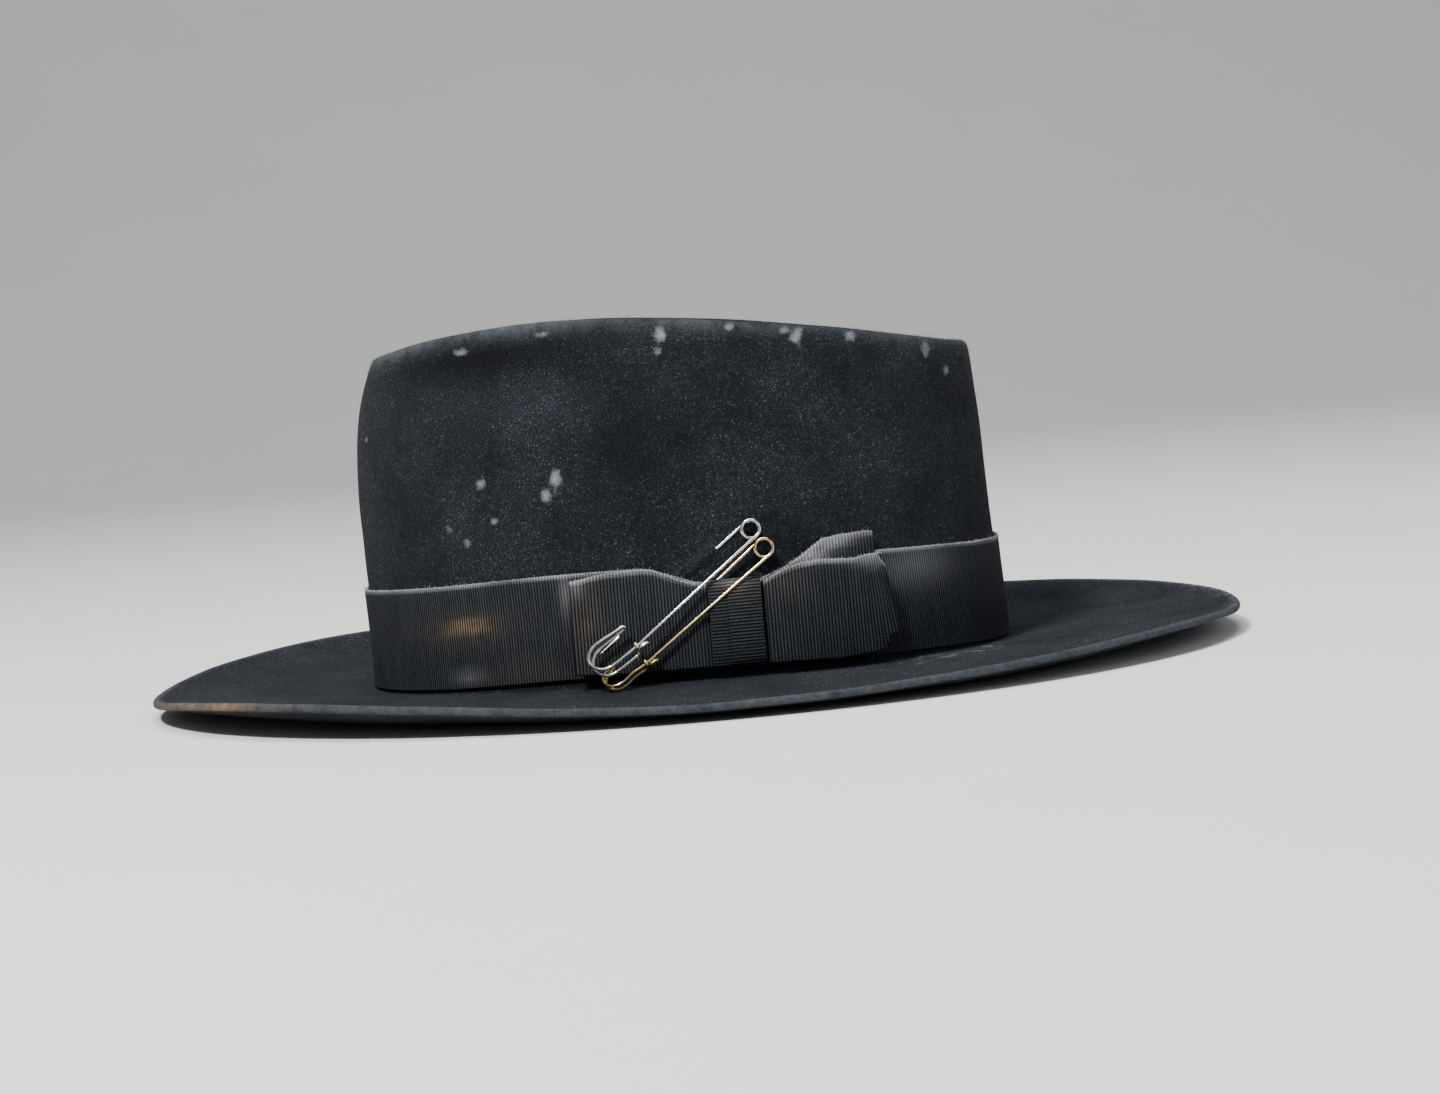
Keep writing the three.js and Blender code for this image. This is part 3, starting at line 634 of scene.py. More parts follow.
def felt_marks(points, v, is_upper):
    """Each point's paleness from wear and painted highlight, its dust, pale cut edge, scuffs and painted
    shade.
    """
    x, y, z = points[..., 0], points[..., 1], points[..., 2]
    by_edge = bell(v, EDGE_V, 0.3)
    front_left = bell(x, -152, 24) * (y < 20)
    # Paleness on the rim and on the brim's edge: partly real wear, partly painted highlight on the lit rim
    # and rounded edge.
    rim_wear_and_highlight = (0.75 - 0.25 * np.tanh(x / 40)) * (0.68 + 0.32 * ripple(x / 9, y / 9, z / 9, seed=2.0))
    wear_and_highlight = rim_wear_and_highlight * bell(v, 5.2, 0.5) * is_upper + by_edge * (0.6 + 0.3 * front_left)
    scuff = 1.3 * by_edge * front_left * (0.65 + 0.35 * ripple(x / 5, y / 5, z / 5, seed=3.0))
    # Painted shade in the pinch under the crown's front rim, where shadow falls.
    painted_shade = 0.95 * bell(x, DEEPER["x"], 30) * bell(v, 6.4, 0.5) * is_upper
    # The cut edge's mark, which also carries painted highlight along the top of the brim's edge.
    edge = bell(v, EDGE_V, 0.22) * is_upper
    on_outside = rise(v, 4.8, 5.1) * is_upper * (y < 0)
    dust = 0.42 * bell(x, 80, 26) * bell(v, FOOT_V + 1.6, 0.9) * (y < 20) * is_upper
    dust = np.maximum(dust, 0.4 * bell(x, 172, 16) * bell(v, EDGE_V, 1.1) * is_upper)
    for place in DUST_SPOTS:
        dust = np.maximum(dust, spots(x, z, [place]) * on_outside)
    marks = {"wear_and_highlight": wear_and_highlight, "dust": dust, "edge": edge, "scuff": scuff, "painted_shade": painted_shade}
    return {key: np.clip(np.broadcast_to(value, x.shape), 0, 1) for key, value in marks.items()}


def felt_body():
    angle = spaced(FELT_COLUMNS)
    v = np.append(spaced(FELT_ROWS), EDGE_V)
    upper = face(angle, v[:, None])
    normal = face_normal(angle, v[:, None])
    relief, dimple = felt_relief(upper, v[:, None])
    lower = upper + normal * (relief + 0.2 * np.minimum(dimple, 0) - FELT)[..., None]
    upper = upper + normal * (relief + dimple)[..., None]
    lower[..., 2] = np.maximum(lower[..., 2], 0.0)
    out = np.stack([np.cos(angle), np.sin(angle), 0 * angle], -1)
    bend = np.linspace(0, math.pi, 9)[1:-1, None, None]
    middle = upper[-1] - normal[-1] * FELT / 2
    lip = middle + normal[-1] * (FELT / 2) * np.cos(bend) + out * LIP * np.sin(bend)
    is_upper = np.repeat([1.0, 0.0, 0.0], [len(v), len(bend), len(v)])[:, None]
    all_v = np.concatenate([v, np.full(len(bend), EDGE_V), v[::-1]])[:, None]
    points = np.concatenate([upper, lip, lower[::-1]])
    marks = felt_marks(points, all_v, is_upper)
    # Across the rounded lip the mark fades from its top to its underside: painted highlight on the lit top.
    marks["edge"][len(v) : len(v) + len(bend)] = np.linspace(1.0, 0.25, len(bend))[:, None]
    body = loft("felt", points, FELT_LOOK, values=marks)
    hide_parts("felt_body")


# ---- Ribbon ----
RIB = 0.95  # pitch of the grosgrain's ribs
RIB_RISE = 0.11  # how far they stand out
RIBBON = 0.55  # thickness between the ribs
SCALLOP = 0.2  # how far each rib's loop stands out of the ribbon's edge
SAMPLES = 5  # columns for each rib


def rib_height(distance):
    return np.abs(np.cos(math.pi * distance / RIB)) ** 0.8


def ribbon_section(rows, crown, sharp=14, edge=0.98):
    """A ribbon's section, up one face and down the other: the share of its width, 0 or 1 for the face, how
    far the ribs stand out, which fades towards both edges, and how far their loops do beyond `edge`."""
    up = 0.5 - 0.5 * np.cos(np.linspace(0, math.pi, rows))
    share = np.concatenate([up, up[::-1]])
    across = 2 * share - 1
    ribs = RIB_RISE * crown * (1 - np.abs(across) ** sharp)
    return share, np.repeat([0, 1], rows), ribs, SCALLOP * crown * across * (np.abs(across) > edge)


def ribbon_values(distance, height, crown, dust=0.0, stain=0.0):
    distance, height, crown, dust, stain = np.broadcast_arrays(distance, height, crown, dust, stain)
    weave = np.stack([distance, height], -1)
    return {"weave": weave, "rib": crown, "dust": np.clip(dust, 0, 1), "stain": np.clip(stain, 0, 1)}


def frayed(share, distance, wide, wave):
    """How pale a ribbon's top edge is."""
    return 1.2 * bell(share, 1, wide) * (0.65 + 0.35 * ripple(distance / wave, seed=1.0))


BAND_FOOT = [5.85, 0, -2.3]  # height of its lower edge: terms of a cosine series
BAND_WIDTH = 31.3
BAND_LENGTH = 597.0
BAND_MIDDLE = 20.0  # a height halfway up it
BAND_INNER, BAND_OUTER = 0.35, 1.05  # depths of its faces
# How much narrower it is behind the bow, by x.
BAND_DRAWN_IN = [
    (-16, 0), (-10, 0.5), (-4, 2.6), (3, 5.2), (12, 6.2), (22, 6.0), (28, 3.6), (34, 1.6), (44, 0),
]
# Spots on its near side, by x and height up the band.
BAND_DUST = [(70, 26, 12, 6, 0.3), (-37, 26, 1.6, 6, 0.35), (-69, 3.5, 5, 2, 0.25)]
BAND_STAIN = [(-68, 18.5, 15, 5.5, 0.6), (-68.5, 18.7, 11, 3.2, 0.55), (-50, 3, 12, 4, 0.5)]


def hat_band():
    fine = np.linspace(0, 2 * math.pi, 4000)
    travelled = travel(on_wall(fine, BAND_MIDDLE, 1.0))
    ribs_round = round(BAND_LENGTH / RIB)
    distance = np.arange(ribs_round * SAMPLES)[:, None] / SAMPLES * RIB
    angle = np.interp(distance / (ribs_round * RIB) * travelled[-1], travelled, fine)
    share, is_outer, ribs, loops = ribbon_section(16, rib_height(distance))
    middle = on_wall(angle, BAND_MIDDLE, 1.0)
    drawn_in = np.where(middle[..., 1] < 0, np.interp(middle[..., 0], *zip(*BAND_DRAWN_IN)), 0)
    sag = 0.22 * ripple(angle * 9, seed=0.7)
    z = series(BAND_FOOT, angle) + sag + (BAND_WIDTH - drawn_in) * share + loops
    flare = 0.25 * (1 + ripple(angle * 13, share * 2, seed=2.2)) * share**3
    points = on_wall(angle, z, np.where(is_outer, BAND_OUTER + ribs + flare, BAND_INNER))
    x, near = points[..., 0], points[..., 1] < 0
    height = BAND_WIDTH * share
    dust = frayed(share, distance, 0.022, 4) + spots(x, height, BAND_DUST) * near
    values = ribbon_values(distance, height, rib_height(distance), dust, spots(x, height, BAND_STAIN) * near)
    band = loft("ribbon_band", points, BAND_LOOK, closed=True, values=values)
    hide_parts("hat_band")


# The bow's loops. A path is x and depth, all the way round the loop in plan, from the knot and back to it.
# Bottom and top edges are corners by x and height, and dust and stain are spots. `lean` moves the top of the
# far end towards the knot. `lint` is the depth, the number and the range in x of its loose threads.
LOOPS = {
    "bow_left_loop": {
        "node": "bow_left_wing",
        "path": [(7.0, 3.0), (4.0, 3.5), (-4, 3.6), (-12, 3.95), (-20, 4.75), (-27, 5.75), (-32.2, 6.5),
                 (-33.4, 6.2), (-33.3, 5.3), (-31, 5.2), (-24, 4.7), (-16, 3.95), (-8, 3.2), (0, 3.0),
                 (6.0, 2.75)],
        "bottom": [(-34, 9.2), (-20, 8.8), (5, 8.9)],
        "top": [(-34, 36.4), (-31, 36.8), (-24, 38.2), (-13, 38.9), (-9.3, 38.3), (-3, 35.3), (1, 33.8),
                (5, 33.1)],
        "dust": [(-31.5, 35, 2, 3, 0.3)],
        "stain": [(-29, 23, 5, 13, 0.68)],
        "lint": (4.6, 420, -33, 3),
    },
    "bow_right_loop_back": {
        "node": "bow_right_wing_back",
        "path": [(22.4, 2.3), (26, 2.6), (34, 2.7), (46, 2.8), (55.2, 2.6), (56.4, 2.2), (55.2, 1.7),
                 (46, 1.75), (34, 1.7), (24.5, 1.6)],
        "bottom": [(20, 10), (60, 10)],
        "top": [(22, 32.0), (28, 35.3), (33.4, 38.3), (40.8, 43.1), (46, 43.8), (54.5, 44.0), (57, 43.6)],
        "dust": [(43, 42.4, 6, 1.8, 1.0), (36.5, 38.6, 5, 1.8, 1.1)],
        "stain": [(27, 34, 5, 3, 0.5)],
        "lint": (2.5, 420, 25, 55),
    },
    "bow_right_loop_front": {
        "node": "bow_right_wing",
        "path": [(22.4, 3.7), (25, 4.6), (34, 5.0), (46, 4.9), (54, 5.1), (59.0, 5.7), (60.4, 5.5),
                 (59.8, 4.8), (56, 3.9), (46, 3.5), (34, 3.5), (24.5, 3.3)],
        "bottom": [(22, 8.6), (44, 7.6), (53, 8.2), (55.8, 8.9), (57.2, 12.6), (60.5, 13.4)],
        "top": [(22, 32.4), (28, 35.2), (32.9, 36.5), (38.4, 37.1), (48.4, 36.2), (54.2, 36.9), (57.5, 37.0),
                (60.5, 33.0)],
        "lean": 3.6,
        "dust": [(54, 35, 5, 1.6, 0.5), (38, 36.9, 9, 0.8, 0.9)],
        "stain": [(28, 31, 6, 4, 0.66)],
        "lint": (5.0, 460, 24, 57),
    },
}


def height_at(x, corners):
    return np.interp(x, *zip(*corners))


def both_faces(path, sign):
    """Steps along a ribbon's path, how far along it each is, and its normal on either side, by `sign`."""
    plan, distance = smooth_path(path, RIB / SAMPLES)
    ahead = unit(np.gradient(plan, axis=0))
    return plan, distance[:, None], sign * np.stack([-ahead[:, 1], ahead[:, 0]], -1)


def bow_loop(name, loop):
    """Ribbon on its edge, with its ribs upright."""
    plan, distance, normal = both_faces(loop["path"], 1)
    share, is_outer, ribs, loops = ribbon_section(14, rib_height(distance))
    half = (2 * is_outer - 1) * (RIBBON / 2 + ribs)
    low, high = height_at(plan[:, :1], loop["bottom"]), height_at(plan[:, :1], loop["top"])
    x = plan[:, :1] + normal[:, :1] * half
    z = lerp(low, high, share) + loops
    depth = plan[:, 1:] + normal[:, 1:] * half + 0.16 * ripple(x / 7, z / 9, seed=len(name))
    x = x - loop.get("lean", 0) * rise(x, 47, 60) ** 2 * (z - 13.5) / 24
    dust = frayed(share, distance, 0.03, 3) + spots(x, z, loop["dust"])
    values = ribbon_values(distance, z, rib_height(distance), dust, spots(x, z, loop["stain"]))
    piece = loft(name, on_side(x, z, depth), BAND_LOOK, values=values)
    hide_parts(loop["node"])


KNOT_DUST = [(13, 33, 5, 1.5, 0.3)]
KNOT_STAIN = [(15, 30.5, 7, 4, 0.62)]


def knot_part(name, left, right, lift, replaced):
    """Part of the knot: ribbon wrapped over the bow from top to bottom, its ribs level. `lift` brings it out.
    Its path is given by height and depth."""
    path = [(33.1, 1.9), (34.0, 2.7), (33.6, 3.9), (31, 4.45 + lift), (26, 4.65 + lift), (20, 4.75 + lift)]
    path += [(14, 4.65 + lift), (10.5, 4.35 + lift), (8.6, 3.7), (8.3, 2.7), (9.2, 1.9)]
    plan, distance, normal = both_faces(path, -1)
    share, is_outer, ribs, loops = ribbon_section(12, rib_height(distance), sharp=10, edge=0.9)
    half = (2 * is_outer - 1) * (RIBBON / 2 + ribs)
    z = plan[:, :1] + normal[:, :1] * half
    waist = 0.25 * np.sin(math.pi * (z - 8) / 26)
    x = lerp(left + waist, right - waist, share) + loops
    bulge = 0.35 * np.sin(math.pi * share) + 0.1 * ripple(share * 3, z / 6, seed=right)
    depth = plan[:, 1:] + normal[:, 1:] * half + bulge
    values = ribbon_values(distance, x, rib_height(distance), spots(x, z, KNOT_DUST), spots(x, z, KNOT_STAIN))
    piece = loft(name, on_side(x, z, depth), BAND_LOOK, values=values)
    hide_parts(replaced)


# ---- Loose fibres ----
def fibres(name, roots, ways, rng, shortest, longest, radius, material):
    """Short curved hairs, joined in one piece, from their feet and the directions they start in."""
    length = lerp(shortest, longest, rng.random(len(roots)) ** 2)[:, None, None]
    curl = unit(rng.normal(size=(len(roots), 3)))[:, None]
    share = np.linspace(0, 1, 5)[:, None]
    path = roots[:, None] + length * (ways[:, None] * share + 0.55 * curl * share**2)
    ahead = unit(np.gradient(path, axis=1))
    first = unit(np.cross(ahead, curl + np.array((0.01, 0.02, 0.03))))
    rings = rings_round(path, ahead, first, radius * (1.05 - share[..., None]), 3)
    short_tubes(name, rings, material)


def hair_ways(rng, count, along, out, out_spread, lowest):
    """Random directions along the hat, out from it and up."""
    x, y = rng.normal(0, along, count), rng.normal(out, out_spread, count)
    return np.stack([x, y, rng.uniform(lowest, 1, count)], -1)


def ribbon_lint():
    """Worn threads along the top edges of the bow and the band, on the side where the bow is."""
    rng = np.random.default_rng(7)
    roots, ways = [], []
    for loop in LOOPS.values():
        depth, count, start, end = loop["lint"]
        x = rng.uniform(start, end, count)
        z = height_at(x, loop["top"]) - rng.uniform(0.0, 0.35, count)
        roots.append(on_side(x, z, depth + rng.uniform(-0.3, 0.35, count)))
        ways.append(hair_ways(rng, count, 0.6, -0.35, 0.35, 0.2))
    angle = rng.uniform(-math.pi, 0, 1300)
    top = series(BAND_FOOT, angle) + BAND_WIDTH - 0.1
    off_bow = height_at(on_wall(angle, top, 1.2)[:, 0], BAND_DRAWN_IN) < 0.2
    angle, top = angle[off_bow], top[off_bow]
    roots.append(on_wall(angle, top, rng.uniform(0.9, 1.5, len(top))))
    ways.append(hair_ways(rng, len(top), 0.7, -0.2, 0.4, 0.1))
    roots, ways = np.concatenate(roots), unit(np.concatenate(ways))
    fibres("ribbon_lint", roots, ways, rng, 0.25, 1.3, 0.05, LINT_LOOK)


def felt_fuzz():
    """Fur that stands off the felt, thickest along the crown's rim and the brim's edge."""
    rng = np.random.default_rng(11)
    by_rim, on_wall_v = rng.normal(4.9, 0.5, 5200), rng.uniform(5.2, 11.5, 5200)
    v = np.concatenate([by_rim, on_wall_v, rng.uniform(17, EDGE_V, 3600)])
    angle = rng.uniform(-math.pi, math.pi, len(v))
    normal = face_normal(angle, v)
    spread = rng.normal(size=(len(v), 3))
    level = unit(spread - normal * (spread * normal).sum(-1, keepdims=True))
    points = face(angle, v)
    relief, dimple = felt_relief(points, v)
    roots = points + normal * (relief + dimple - 0.05)[:, None]
    fibres("felt_fuzz", roots, unit(0.55 * normal + 0.6 * level), rng, 0.3, 1.5, 0.04, FUZZ_LOOK)


# ---- Inside the crown ----
# Depths and heights of the inner pieces. Depths are negative, as they lie inside the felt's outer face.
SWEATBAND = {"bottom": 6.4, "height": 41.6, "outer": -3.75, "inner": -4.95, "bulge": 0.28}
REED = {"z": 4.2, "depth": -4.0, "half_height": 1.45, "half_depth": 1.1}
STITCH = {"count": 230, "z": 7.6, "depth": -5.1, "length": 1.7, "sink": 0.35, "radius": 0.22}
LINING = {"bottom": 11, "top": 79, "outer": -2.85, "inner": -3.4, "pleats": 84}
TIP = {"z": 81.4, "depth": -6.0, "thick": 0.5, "sag": 0.6, "wave": 0.3}
CORD = {"z": 80.9, "depth": -4.7, "radius": 1.1, "twists": 260}
GUARD = {"z": 80.35, "half_length": 46, "half_width": 29, "thick": 0.3, "wave": 0.12}
SEAM_TAPE = {"half": 4, "z": 27.5, "tall": 18.5, "outer": 5.3, "inner": 5.7}
SMALL_BOW = {"z": 15, "from": 2.2, "to": 12, "tall": 3.4, "waist": 0.45, "outer": 6.1, "inner": 7.2}
SMALL_KNOT = {"half": 1.9, "tall": 2.1, "inner": 7.8}
REAR_REACH = WALL[5][2]  # from the middle of the hat to its rear wall
STITCH_REACH = 97  # from the middle of the hat to the stitches
INSIDE_ANGLES = full_turn(480)[:, None]


def there_and_back(values):
    return np.concatenate([values, values[::-1]])


def ring_strip(name, z, depth, material, replaced):
    """A closed strip round the inside, from the height and depth of its section's points at each angle."""
    piece = loft(name, on_wall(INSIDE_ANGLES, z, depth), material, closed=True)
    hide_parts(replaced)
    return piece


def sweatband():
    up = np.linspace(0, 1, 14)
    share = there_and_back(up)
    is_inner = np.repeat([0.0, 1.0], len(up))
    z = SWEATBAND["bottom"] + SWEATBAND["height"] * share + 0.25 * ripple(INSIDE_ANGLES * 7, seed=3.0) * share
    inner = SWEATBAND["inner"] - SWEATBAND["bulge"] * np.sin(math.pi * share)
    loose = 0.12 * ripple(INSIDE_ANGLES * 11, seed=1.0) * share
    depth = np.where(is_inner, inner + loose, SWEATBAND["outer"])
    ring_strip("leather_sweatband", z, depth, LEATHER_LOOK, "sweatband")


def reed():
    turn = full_turn(14)
    z = REED["z"] + REED["half_height"] * np.sin(turn)
    depth = REED["depth"] + REED["half_depth"] * np.cos(turn)
    ring_strip("covered_reed", z, depth, REED_LOOK, "sweatband_reed")


def stitches():
    """A row of short stitches round the inside, whose ends go into the leather."""
    across = np.linspace(-0.5, 0.5, 7)
    angle = full_turn(STITCH["count"])[:, None] + across * STITCH["length"] / STITCH_REACH
    path = on_wall(angle, STITCH["z"], STITCH["depth"] - STITCH["sink"] * (1 - (2 * across) ** 4))
    ahead = unit(np.gradient(path, axis=1))
    first = unit(np.cross(ahead, (0, 0, 1.0)))
    rings = rings_round(path, ahead, first, STITCH["radius"], 6)
    short_tubes("sweatband_stitches", rings, PALE_THREAD_LOOK)


def lining():
    up = np.linspace(0, 1, 16)
    pleats = 0.16 * np.sin(INSIDE_ANGLES * LINING["pleats"]) * up**2
    gather = np.abs(pleats + 0.2 * ripple(INSIDE_ANGLES * 17, seed=5.0) * up)
    inner = LINING["inner"] - 0.2 * up - gather
    depth = np.concatenate([np.full(inner.shape, LINING["outer"]), inner[:, ::-1]], 1)
    z = there_and_back(lerp(LINING["bottom"], LINING["top"], up))
    wall = ring_strip("lining_wall", z, depth, SATIN_LOOK, "lining_side")


def oval_sheet(name, outline, rows, thick, material, replaced, sag, wave):
    """A flat sheet inside an outline, lifted by `sag` in its middle, with soft waves."""
    share = np.linspace(0.02, 1, rows)[:, None, None]
    lower = lerp(outline.mean(0), outline[None], share)
    lift = wave * ripple(lower[..., 0] / 15, lower[..., 1] / 13, seed=2.0)
    lower[..., 2] += sag * (1 - share[..., 0] ** 2) + lift * (1 - share[..., 0] ** 6)
    upper = lower + np.array((0, 0, thick))
    piece = loft(name, np.concatenate([lower, upper[::-1]]), material)
    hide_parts(replaced)
    return piece


def level_outline(angle, z, depth):
    outline = on_wall(angle, z, depth)
    outline[:, 2] = z
    return outline


def lining_top():
    angle = full_turn(360)
    outline = level_outline(angle, TIP["z"], TIP["depth"])
    top = oval_sheet("lining_crown", outline, 24, TIP["thick"], SATIN_LOOK, "lining_tip",
                     TIP["sag"], TIP["wave"])

    centre = level_outline(angle, CORD["z"], CORD["depth"])
    out = np.stack([np.cos(angle), np.sin(angle), 0 * angle], -1)
    radius = CORD["radius"] * (1 + 0.05 * np.sin(angle * CORD["twists"]))[:, None, None]
    turn = full_turn(14)[:, None]
    cord = centre[:, None] + radius * (out[:, None] * np.cos(turn) + np.array((0, 0, 1.0)) * np.sin(turn))
    piping = loft("lining_cord", cord, SATIN_LOOK, closed=True)
    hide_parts("lining_piping")

    x, y = oval(angle, GUARD["half_length"], GUARD["half_length"], GUARD["half_width"])
    film = np.stack([x, y, np.full_like(x, GUARD["z"])], -1)
    oval_sheet("clear_guard", film, 10, GUARD["thick"], CLEAR_LOOK, "tip_guard", 0.0, GUARD["wave"])


def rear_patch(name, reach, z, tall, outer, inner, replaced, columns=40, bulge=0.0, waist=1.0):
    """Narrow ribbon on the inside of the rear, between the ends of `reach`, and `tall` up and down from z.
    Near the small bow's knot it is only `waist` times as tall."""
    across = np.linspace(*reach, columns)[:, None]
    crown = rib_height(across)
    share, is_inner, _, _ = ribbon_section(8, crown)
    half = tall * lerp(waist, 1.0, rise(np.abs(across), SMALL_BOW["from"], SMALL_BOW["to"]) ** 0.7)
    heights = lerp(z - half, z + half, share)
    swell = bulge * np.sin(math.pi * rise(across, *reach)) * np.sin(math.pi * share)
    depth = -np.where(is_inner, inner + 0.06 * crown + swell, outer)
    points = on_wall(across / REAR_REACH, heights, depth)
    piece = loft(name, points, TAPE_LOOK, values=ribbon_values(across, heights, crown))
    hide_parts(replaced)


def rear_seam():
    """The ribbon over the sweatband's seam, and the small bow on it."""
    half = SEAM_TAPE["half"]
    rear_patch("seam_tape", (-half, half), SEAM_TAPE["z"], SEAM_TAPE["tall"], SEAM_TAPE["outer"],
               SEAM_TAPE["inner"], "sweatband_seam_tape")
    start, end = SMALL_BOW["from"], SMALL_BOW["to"]
    for node, reach in (("sweatband_bow_left", (-end, -start)), ("sweatband_bow_right", (start, end))):
        rear_patch(node + "_loop", reach, SMALL_BOW["z"], SMALL_BOW["tall"], SMALL_BOW["outer"],
                   SMALL_BOW["inner"], node, bulge=0.5, waist=SMALL_BOW["waist"])
    half = SMALL_KNOT["half"]
    rear_patch("small_bow_knot", (-half, half), SMALL_BOW["z"], SMALL_KNOT["tall"], SMALL_BOW["outer"],
               SMALL_KNOT["inner"], "sweatband_bow_knot", columns=24, bulge=0.4)


# ---- Safety pins ----
WIRE = 0.5  # radius
COIL = {"radius": 2.7, "pitch": 1.05, "turns": 1.9, "split": 5 * math.pi / 3}  # split: where the needle ends
NEEDLE = {"length": 58.8, "taper": 7}
STRAND_STEP = 1.05  # from one strand of the clasp up to the other
COLLAR_AT = 48.6  # how far from the coil the wire's end is closed round the arm
# Coil and point are places on the hat: x, height and depth. The rest is in the pin's own frame: how far
# the needle's tip lies to the side, how much the needle bends and the arm arches outwards, the level of the
# clasp's lower strand, how far apart its strands are, and its outline.
PINS = {
    "silver": {
        "coil": (20.2, 48.1, 0.95), "point": (-27.6, 12.6, 7.9), "tip": 1.0, "bend": -0.9, "arch": 2.0,
        "level": 1.8, "apart": 2.2, "look": STEEL_LOOK, "slot": "steel",
        "clasp": [(50.6, -4.7), (59.0, -4.2), (62.0, -2.5), (63.0, 0.5), (61.6, 2.6), (58.6, 3.7),
                  (52.4, 3.0), (48.6, 2.6)],
    },
    "gold": {
        "coil": (23.5, 42.2, 2.45), "point": (-25.3, 8.7, 4.05), "tip": -2.4, "bend": 1.3, "arch": 1.4,
        "level": 3.1, "apart": 1.3, "look": BRASS_LOOK, "slot": "brass",
        "clasp": [(50.4, -4.9), (54.3, -4.6), (57.6, -4.9), (60.2, -4.4), (62.0, -3.0), (62.4, -1.0),
                  (60.6, 0.5), (57.2, 1.1)],
    },
}
COIL_TOP = COIL["pitch"] * (1 + COIL["turns"])
COIL_EXIT = COIL["radius"] * math.cos(COIL["split"] + 2 * math.pi * COIL["turns"])


def side_point(x, z, depth):
    return on_side(np.array([x]), np.array([z]), np.array([depth]))[0]


def pin_placer(pin):
    """A function that puts a place in the pin's own frame on the hat, and the direction out from the hat.
    The pin's x is towards its point, y is from its arm to its needle and z is outwards."""
    coil, point = pin["coil"], pin["point"]
    centre = side_point(*coil)
    along = unit(side_point(*point) - centre)
    middle = ((coil[0] + point[0]) / 2, (coil[1] + point[1]) / 2)
    out = side_point(*middle, 10) - side_point(*middle, 0)
    out = unit(out - along * (out @ along))
    across = unit(np.cross(along, out))
    return lambda places: centre + np.asarray(places, float) @ np.stack([along, across, out]), out


def arched(x, by):
    """A shallow arch from the coil to the needle's point, `by` high."""
    share = np.clip(x / NEEDLE["length"], 0, 1)
    return by * 4 * share * (1 - share)


def frame_level(pin, x):
    """How far out the arm and the clasp's upper strand are."""
    upper = pin["level"] + STRAND_STEP
    return lerp(COIL_TOP, upper, np.minimum(x / NEEDLE["length"], 1)) + arched(x, pin["arch"])


def arm_places(pin, x):
    """The frame's straight arm, from the coil to the clasp."""
    side = lerp(-COIL["radius"], pin["clasp"][0][1], x / COLLAR_AT)
    return np.stack([x, side, frame_level(pin, x)], -1)


def coil_places(start, end, low, high, steps):
    angle = np.linspace(start, end, steps)
    radius = COIL["radius"]
    return np.stack([radius * np.cos(angle), radius * np.sin(angle), np.linspace(low, high, steps)], -1)


def catmull(points, per_span):
    """A Catmull-Rom curve through the points."""
    p = np.asarray(points, float)
    p = np.concatenate([2 * p[:1] - p[1:2], p, 2 * p[-1:] - p[-2:-1]])
    parts = []
    for a, b, c, d in zip(p[:-3], p[1:-2], p[2:-1], p[3:]):
        t = np.linspace(0, 1, per_span, endpoint=False)[:, None]
        parts.append(b + 0.5 * t * (c - a + t * (2 * a - 5 * b + 4 * c - d + t * (3 * (b - c) + d - a))))
    return np.concatenate([*parts, p[-2:-1]])


def clasp_places(pin):
    """The clasp's two strands: out along the upper one, round its narrow end and back along the lower one."""
    count = 90
    outline, _ = even(catmull(pin["clasp"], 24), count)
    upper = np.concatenate([outline, frame_level(pin, outline[:, 0])[:, None]], 1)
    apart = lerp(pin["apart"], 0.9, np.maximum(0, 2 * np.linspace(0, 1, count + 1) - 1))
    lower = upper - np.stack([0 * apart, apart, STRAND_STEP + 0 * apart], -1)
    end = (upper[-1] + lower[-1]) / 2 + (upper[-1] - upper[-6]) * 0.35
    turn = catmull([upper[-1], end, lower[-1]], 8)
    return np.concatenate([upper[:-1], turn, lower[::-1][1:]])


def closing_turn(pin, start):
    """The wire's end: from the clasp's lower strand once round the arm, with a short straight stub."""
    angle = np.linspace(math.pi, -math.pi, 30)
    x = np.linspace(COLLAR_AT + 0.9, COLLAR_AT - 0.4, 30)
    reach = 2 * WIRE + 0.03
    around = arm_places(pin, x) + reach * np.stack([0 * angle, np.cos(angle), np.sin(angle)], -1)
    stub = around[-1] - np.array([(0.8, 0.05, 0.0), (1.7, 0.12, 0.0), (2.6, 0.2, 0.0)])
    lead = catmull([start, start + np.array((-0.5, 0.5, 0.25)), around[0]], 8)[:-1]
    return np.concatenate([lead, around, stub])


def safety_pin(name, pin):
    place, out = pin_placer(pin)
    look, slot = pin["look"], pin["slot"]
    x = np.linspace(0, NEEDLE["length"], 90)[1:]
    arm = np.stack([x, lerp(COIL["radius"], pin["tip"], x / x[-1]), arched(x, pin["bend"])], -1)
    turn = coil_places(COIL["split"], math.pi / 2, 0, 0, 40)
    needle_path = np.concatenate([turn, arm])
    radius = np.minimum(WIRE, 0.05 + WIRE * (NEEDLE["length"] - needle_path[:, 0]) / NEEDLE["taper"])
    needle = tube(name + "_needle", place(needle_path), radius, look, out, name + "_needle")
    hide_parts(name + "_pin_needle")

    coil_end = COIL["split"] + 2 * math.pi * COIL["turns"]
    coil = coil_places(COIL["split"], coil_end, COIL["pitch"], COIL_TOP, 90)
    arm = arm_places(pin, np.linspace(COIL_EXIT, COLLAR_AT, 60)[1:])
    clasp = clasp_places(pin)
    wire = tube(name + "_wire", place(np.concatenate([coil, arm, clasp])), WIRE, look, out)
    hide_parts(name + "_pin_frame")

    closing = tube(name + "_closing_turn", place(closing_turn(pin, clasp[-1])), WIRE, look, out)
    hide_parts(name + "_pin_collar")


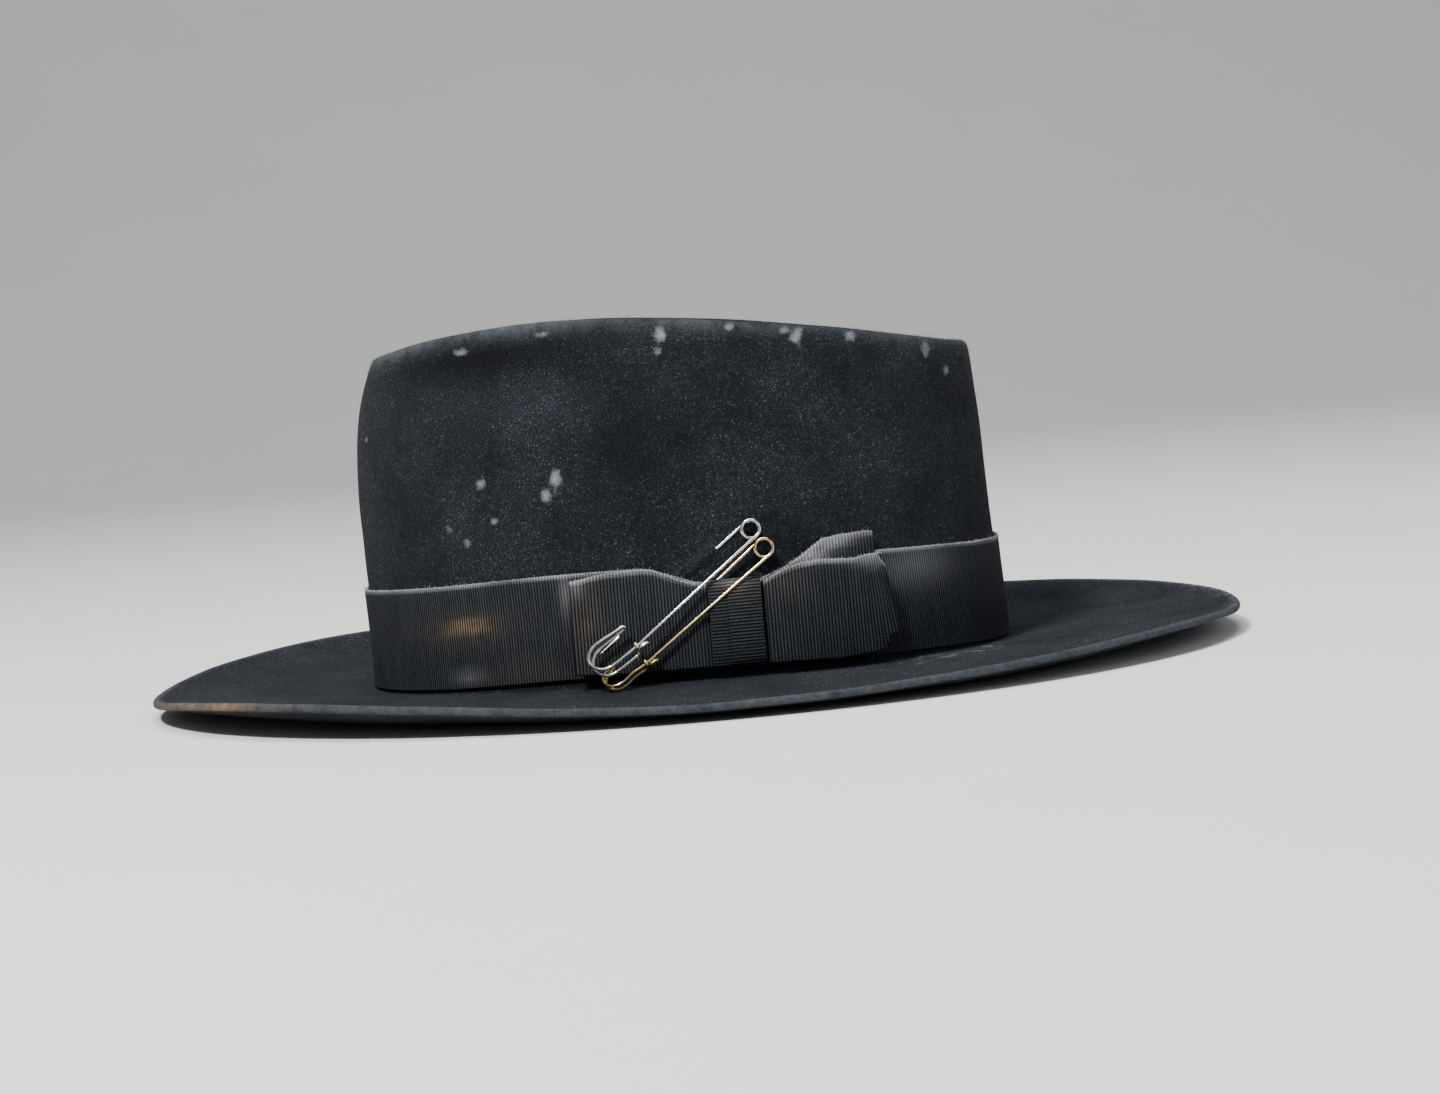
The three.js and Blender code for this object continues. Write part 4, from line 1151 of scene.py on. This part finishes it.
felt_body()
hat_band()
for loop_name, loop in LOOPS.items():
    bow_loop(loop_name, loop)
knot_part("bow_knot_left", 5.9, 11.7, -0.1, "bow_knot_pleat")
knot_part("bow_knot_right", 11.3, 21.2, 0.35, "bow_knot")
ribbon_lint()
felt_fuzz()
sweatband()
reed()
stitches()
lining()
lining_top()
rear_seam()
for pin_name, pin in PINS.items():
    safety_pin(pin_name, pin)


# ---- Floor, light and camera ----
# The floor, in millimetres: it runs from `near` to `bend`, curves up and ends `tall` high.
FLOOR = {"near": -5000, "bend": 1500, "radius": 1400, "tall": 6000, "half": 6000}
AIM = Vector((0, 0, 0.05))
# Place in metres, size, power in watts and colour.
LIGHTS = {
    "key": ((-0.55, -0.95, 1.45), (0.3, 0.25), 42, (1.0, 0.985, 0.96)),
    "fill": ((1.3, -0.9, 0.8), (1.0, 1.0), 5, (0.93, 0.96, 1.0)),
    "top": ((0.0, 0.05, 1.6), (1.2, 0.8), 19, (1.0, 1.0, 1.0)),
}
AROUND_COLOR = (0.86, 0.89, 0.93, 1)
AROUND_STRENGTH = 0.28
# The camera, in millimetres and degrees. It looks from the wearer's left, a little from above.
TARGET = np.array((10.906, 0.0, 38.159))
DISTANCE = 1100.0
ELEVATION = math.radians(4.114)
ROLL = math.radians(-4.898)
LENS = 84.705
SENSOR = 36


def backdrop():
    """A pale floor that curves up behind, with no edge in view."""
    m = Nodes("pale_paper")
    grain = m.noise(m.place(), 9, 3, 0.5)
    color = m.mix(grain, (0.78, 0.775, 0.765), (0.82, 0.815, 0.805))
    look = m.surface(color=color, roughness=0.9, specular=0.2)
    bend, radius = np.linspace(0, math.pi / 2, 24), FLOOR["radius"]
    y = np.concatenate([[FLOOR["near"]], FLOOR["bend"] + radius * np.sin(bend), [FLOOR["bend"] + radius]])
    z = np.concatenate([[0], radius - radius * np.cos(bend), [FLOOR["tall"]]])
    x = np.linspace(-FLOOR["half"], FLOOR["half"], 3)
    vertices = np.stack(np.broadcast_arrays(x, y[:, None], z[:, None]), -1).reshape(-1, 3)
    mesh_object("backdrop", vertices, faces_of_grid(len(y), len(x), False, False).tolist(), look)


def lights():
    for name, (place, size, power, color) in LIGHTS.items():
        data = bpy.data.lights.new(name, "AREA")
        data.shape = "RECTANGLE"
        data.size, data.size_y = size
        data.energy = power
        data.color = color
        light = add_object(name, data)
        light.location = place
        light.rotation_euler = (AIM - Vector(place)).to_track_quat("-Z", "Y").to_euler()
    world = bpy.data.worlds.new("studio")
    bpy.context.scene.world = world
    world.use_nodes = True
    background = world.node_tree.nodes["Background"]
    background.inputs["Color"].default_value = AROUND_COLOR
    background.inputs["Strength"].default_value = AROUND_STRENGTH


def camera():
    ahead = np.array((0, math.cos(ELEVATION), -math.sin(ELEVATION)))
    right = np.array((1.0, 0, 0))
    up = np.cross(right, ahead)
    rolled_right = math.cos(ROLL) * right + math.sin(ROLL) * up
    rolled_up = -math.sin(ROLL) * right + math.cos(ROLL) * up
    data = bpy.data.cameras.new("camera")
    data.lens = LENS
    data.sensor_width = SENSOR
    data.clip_start = 0.01
    obj = add_object("camera", data)
    axes = Matrix(np.stack([rolled_right, rolled_up, -ahead], 1).tolist()).to_4x4()
    obj.matrix_world = Matrix.Translation(Vector((TARGET - ahead * DISTANCE) * MM)) @ axes
    bpy.context.scene.camera = obj


backdrop()
lights()
camera()
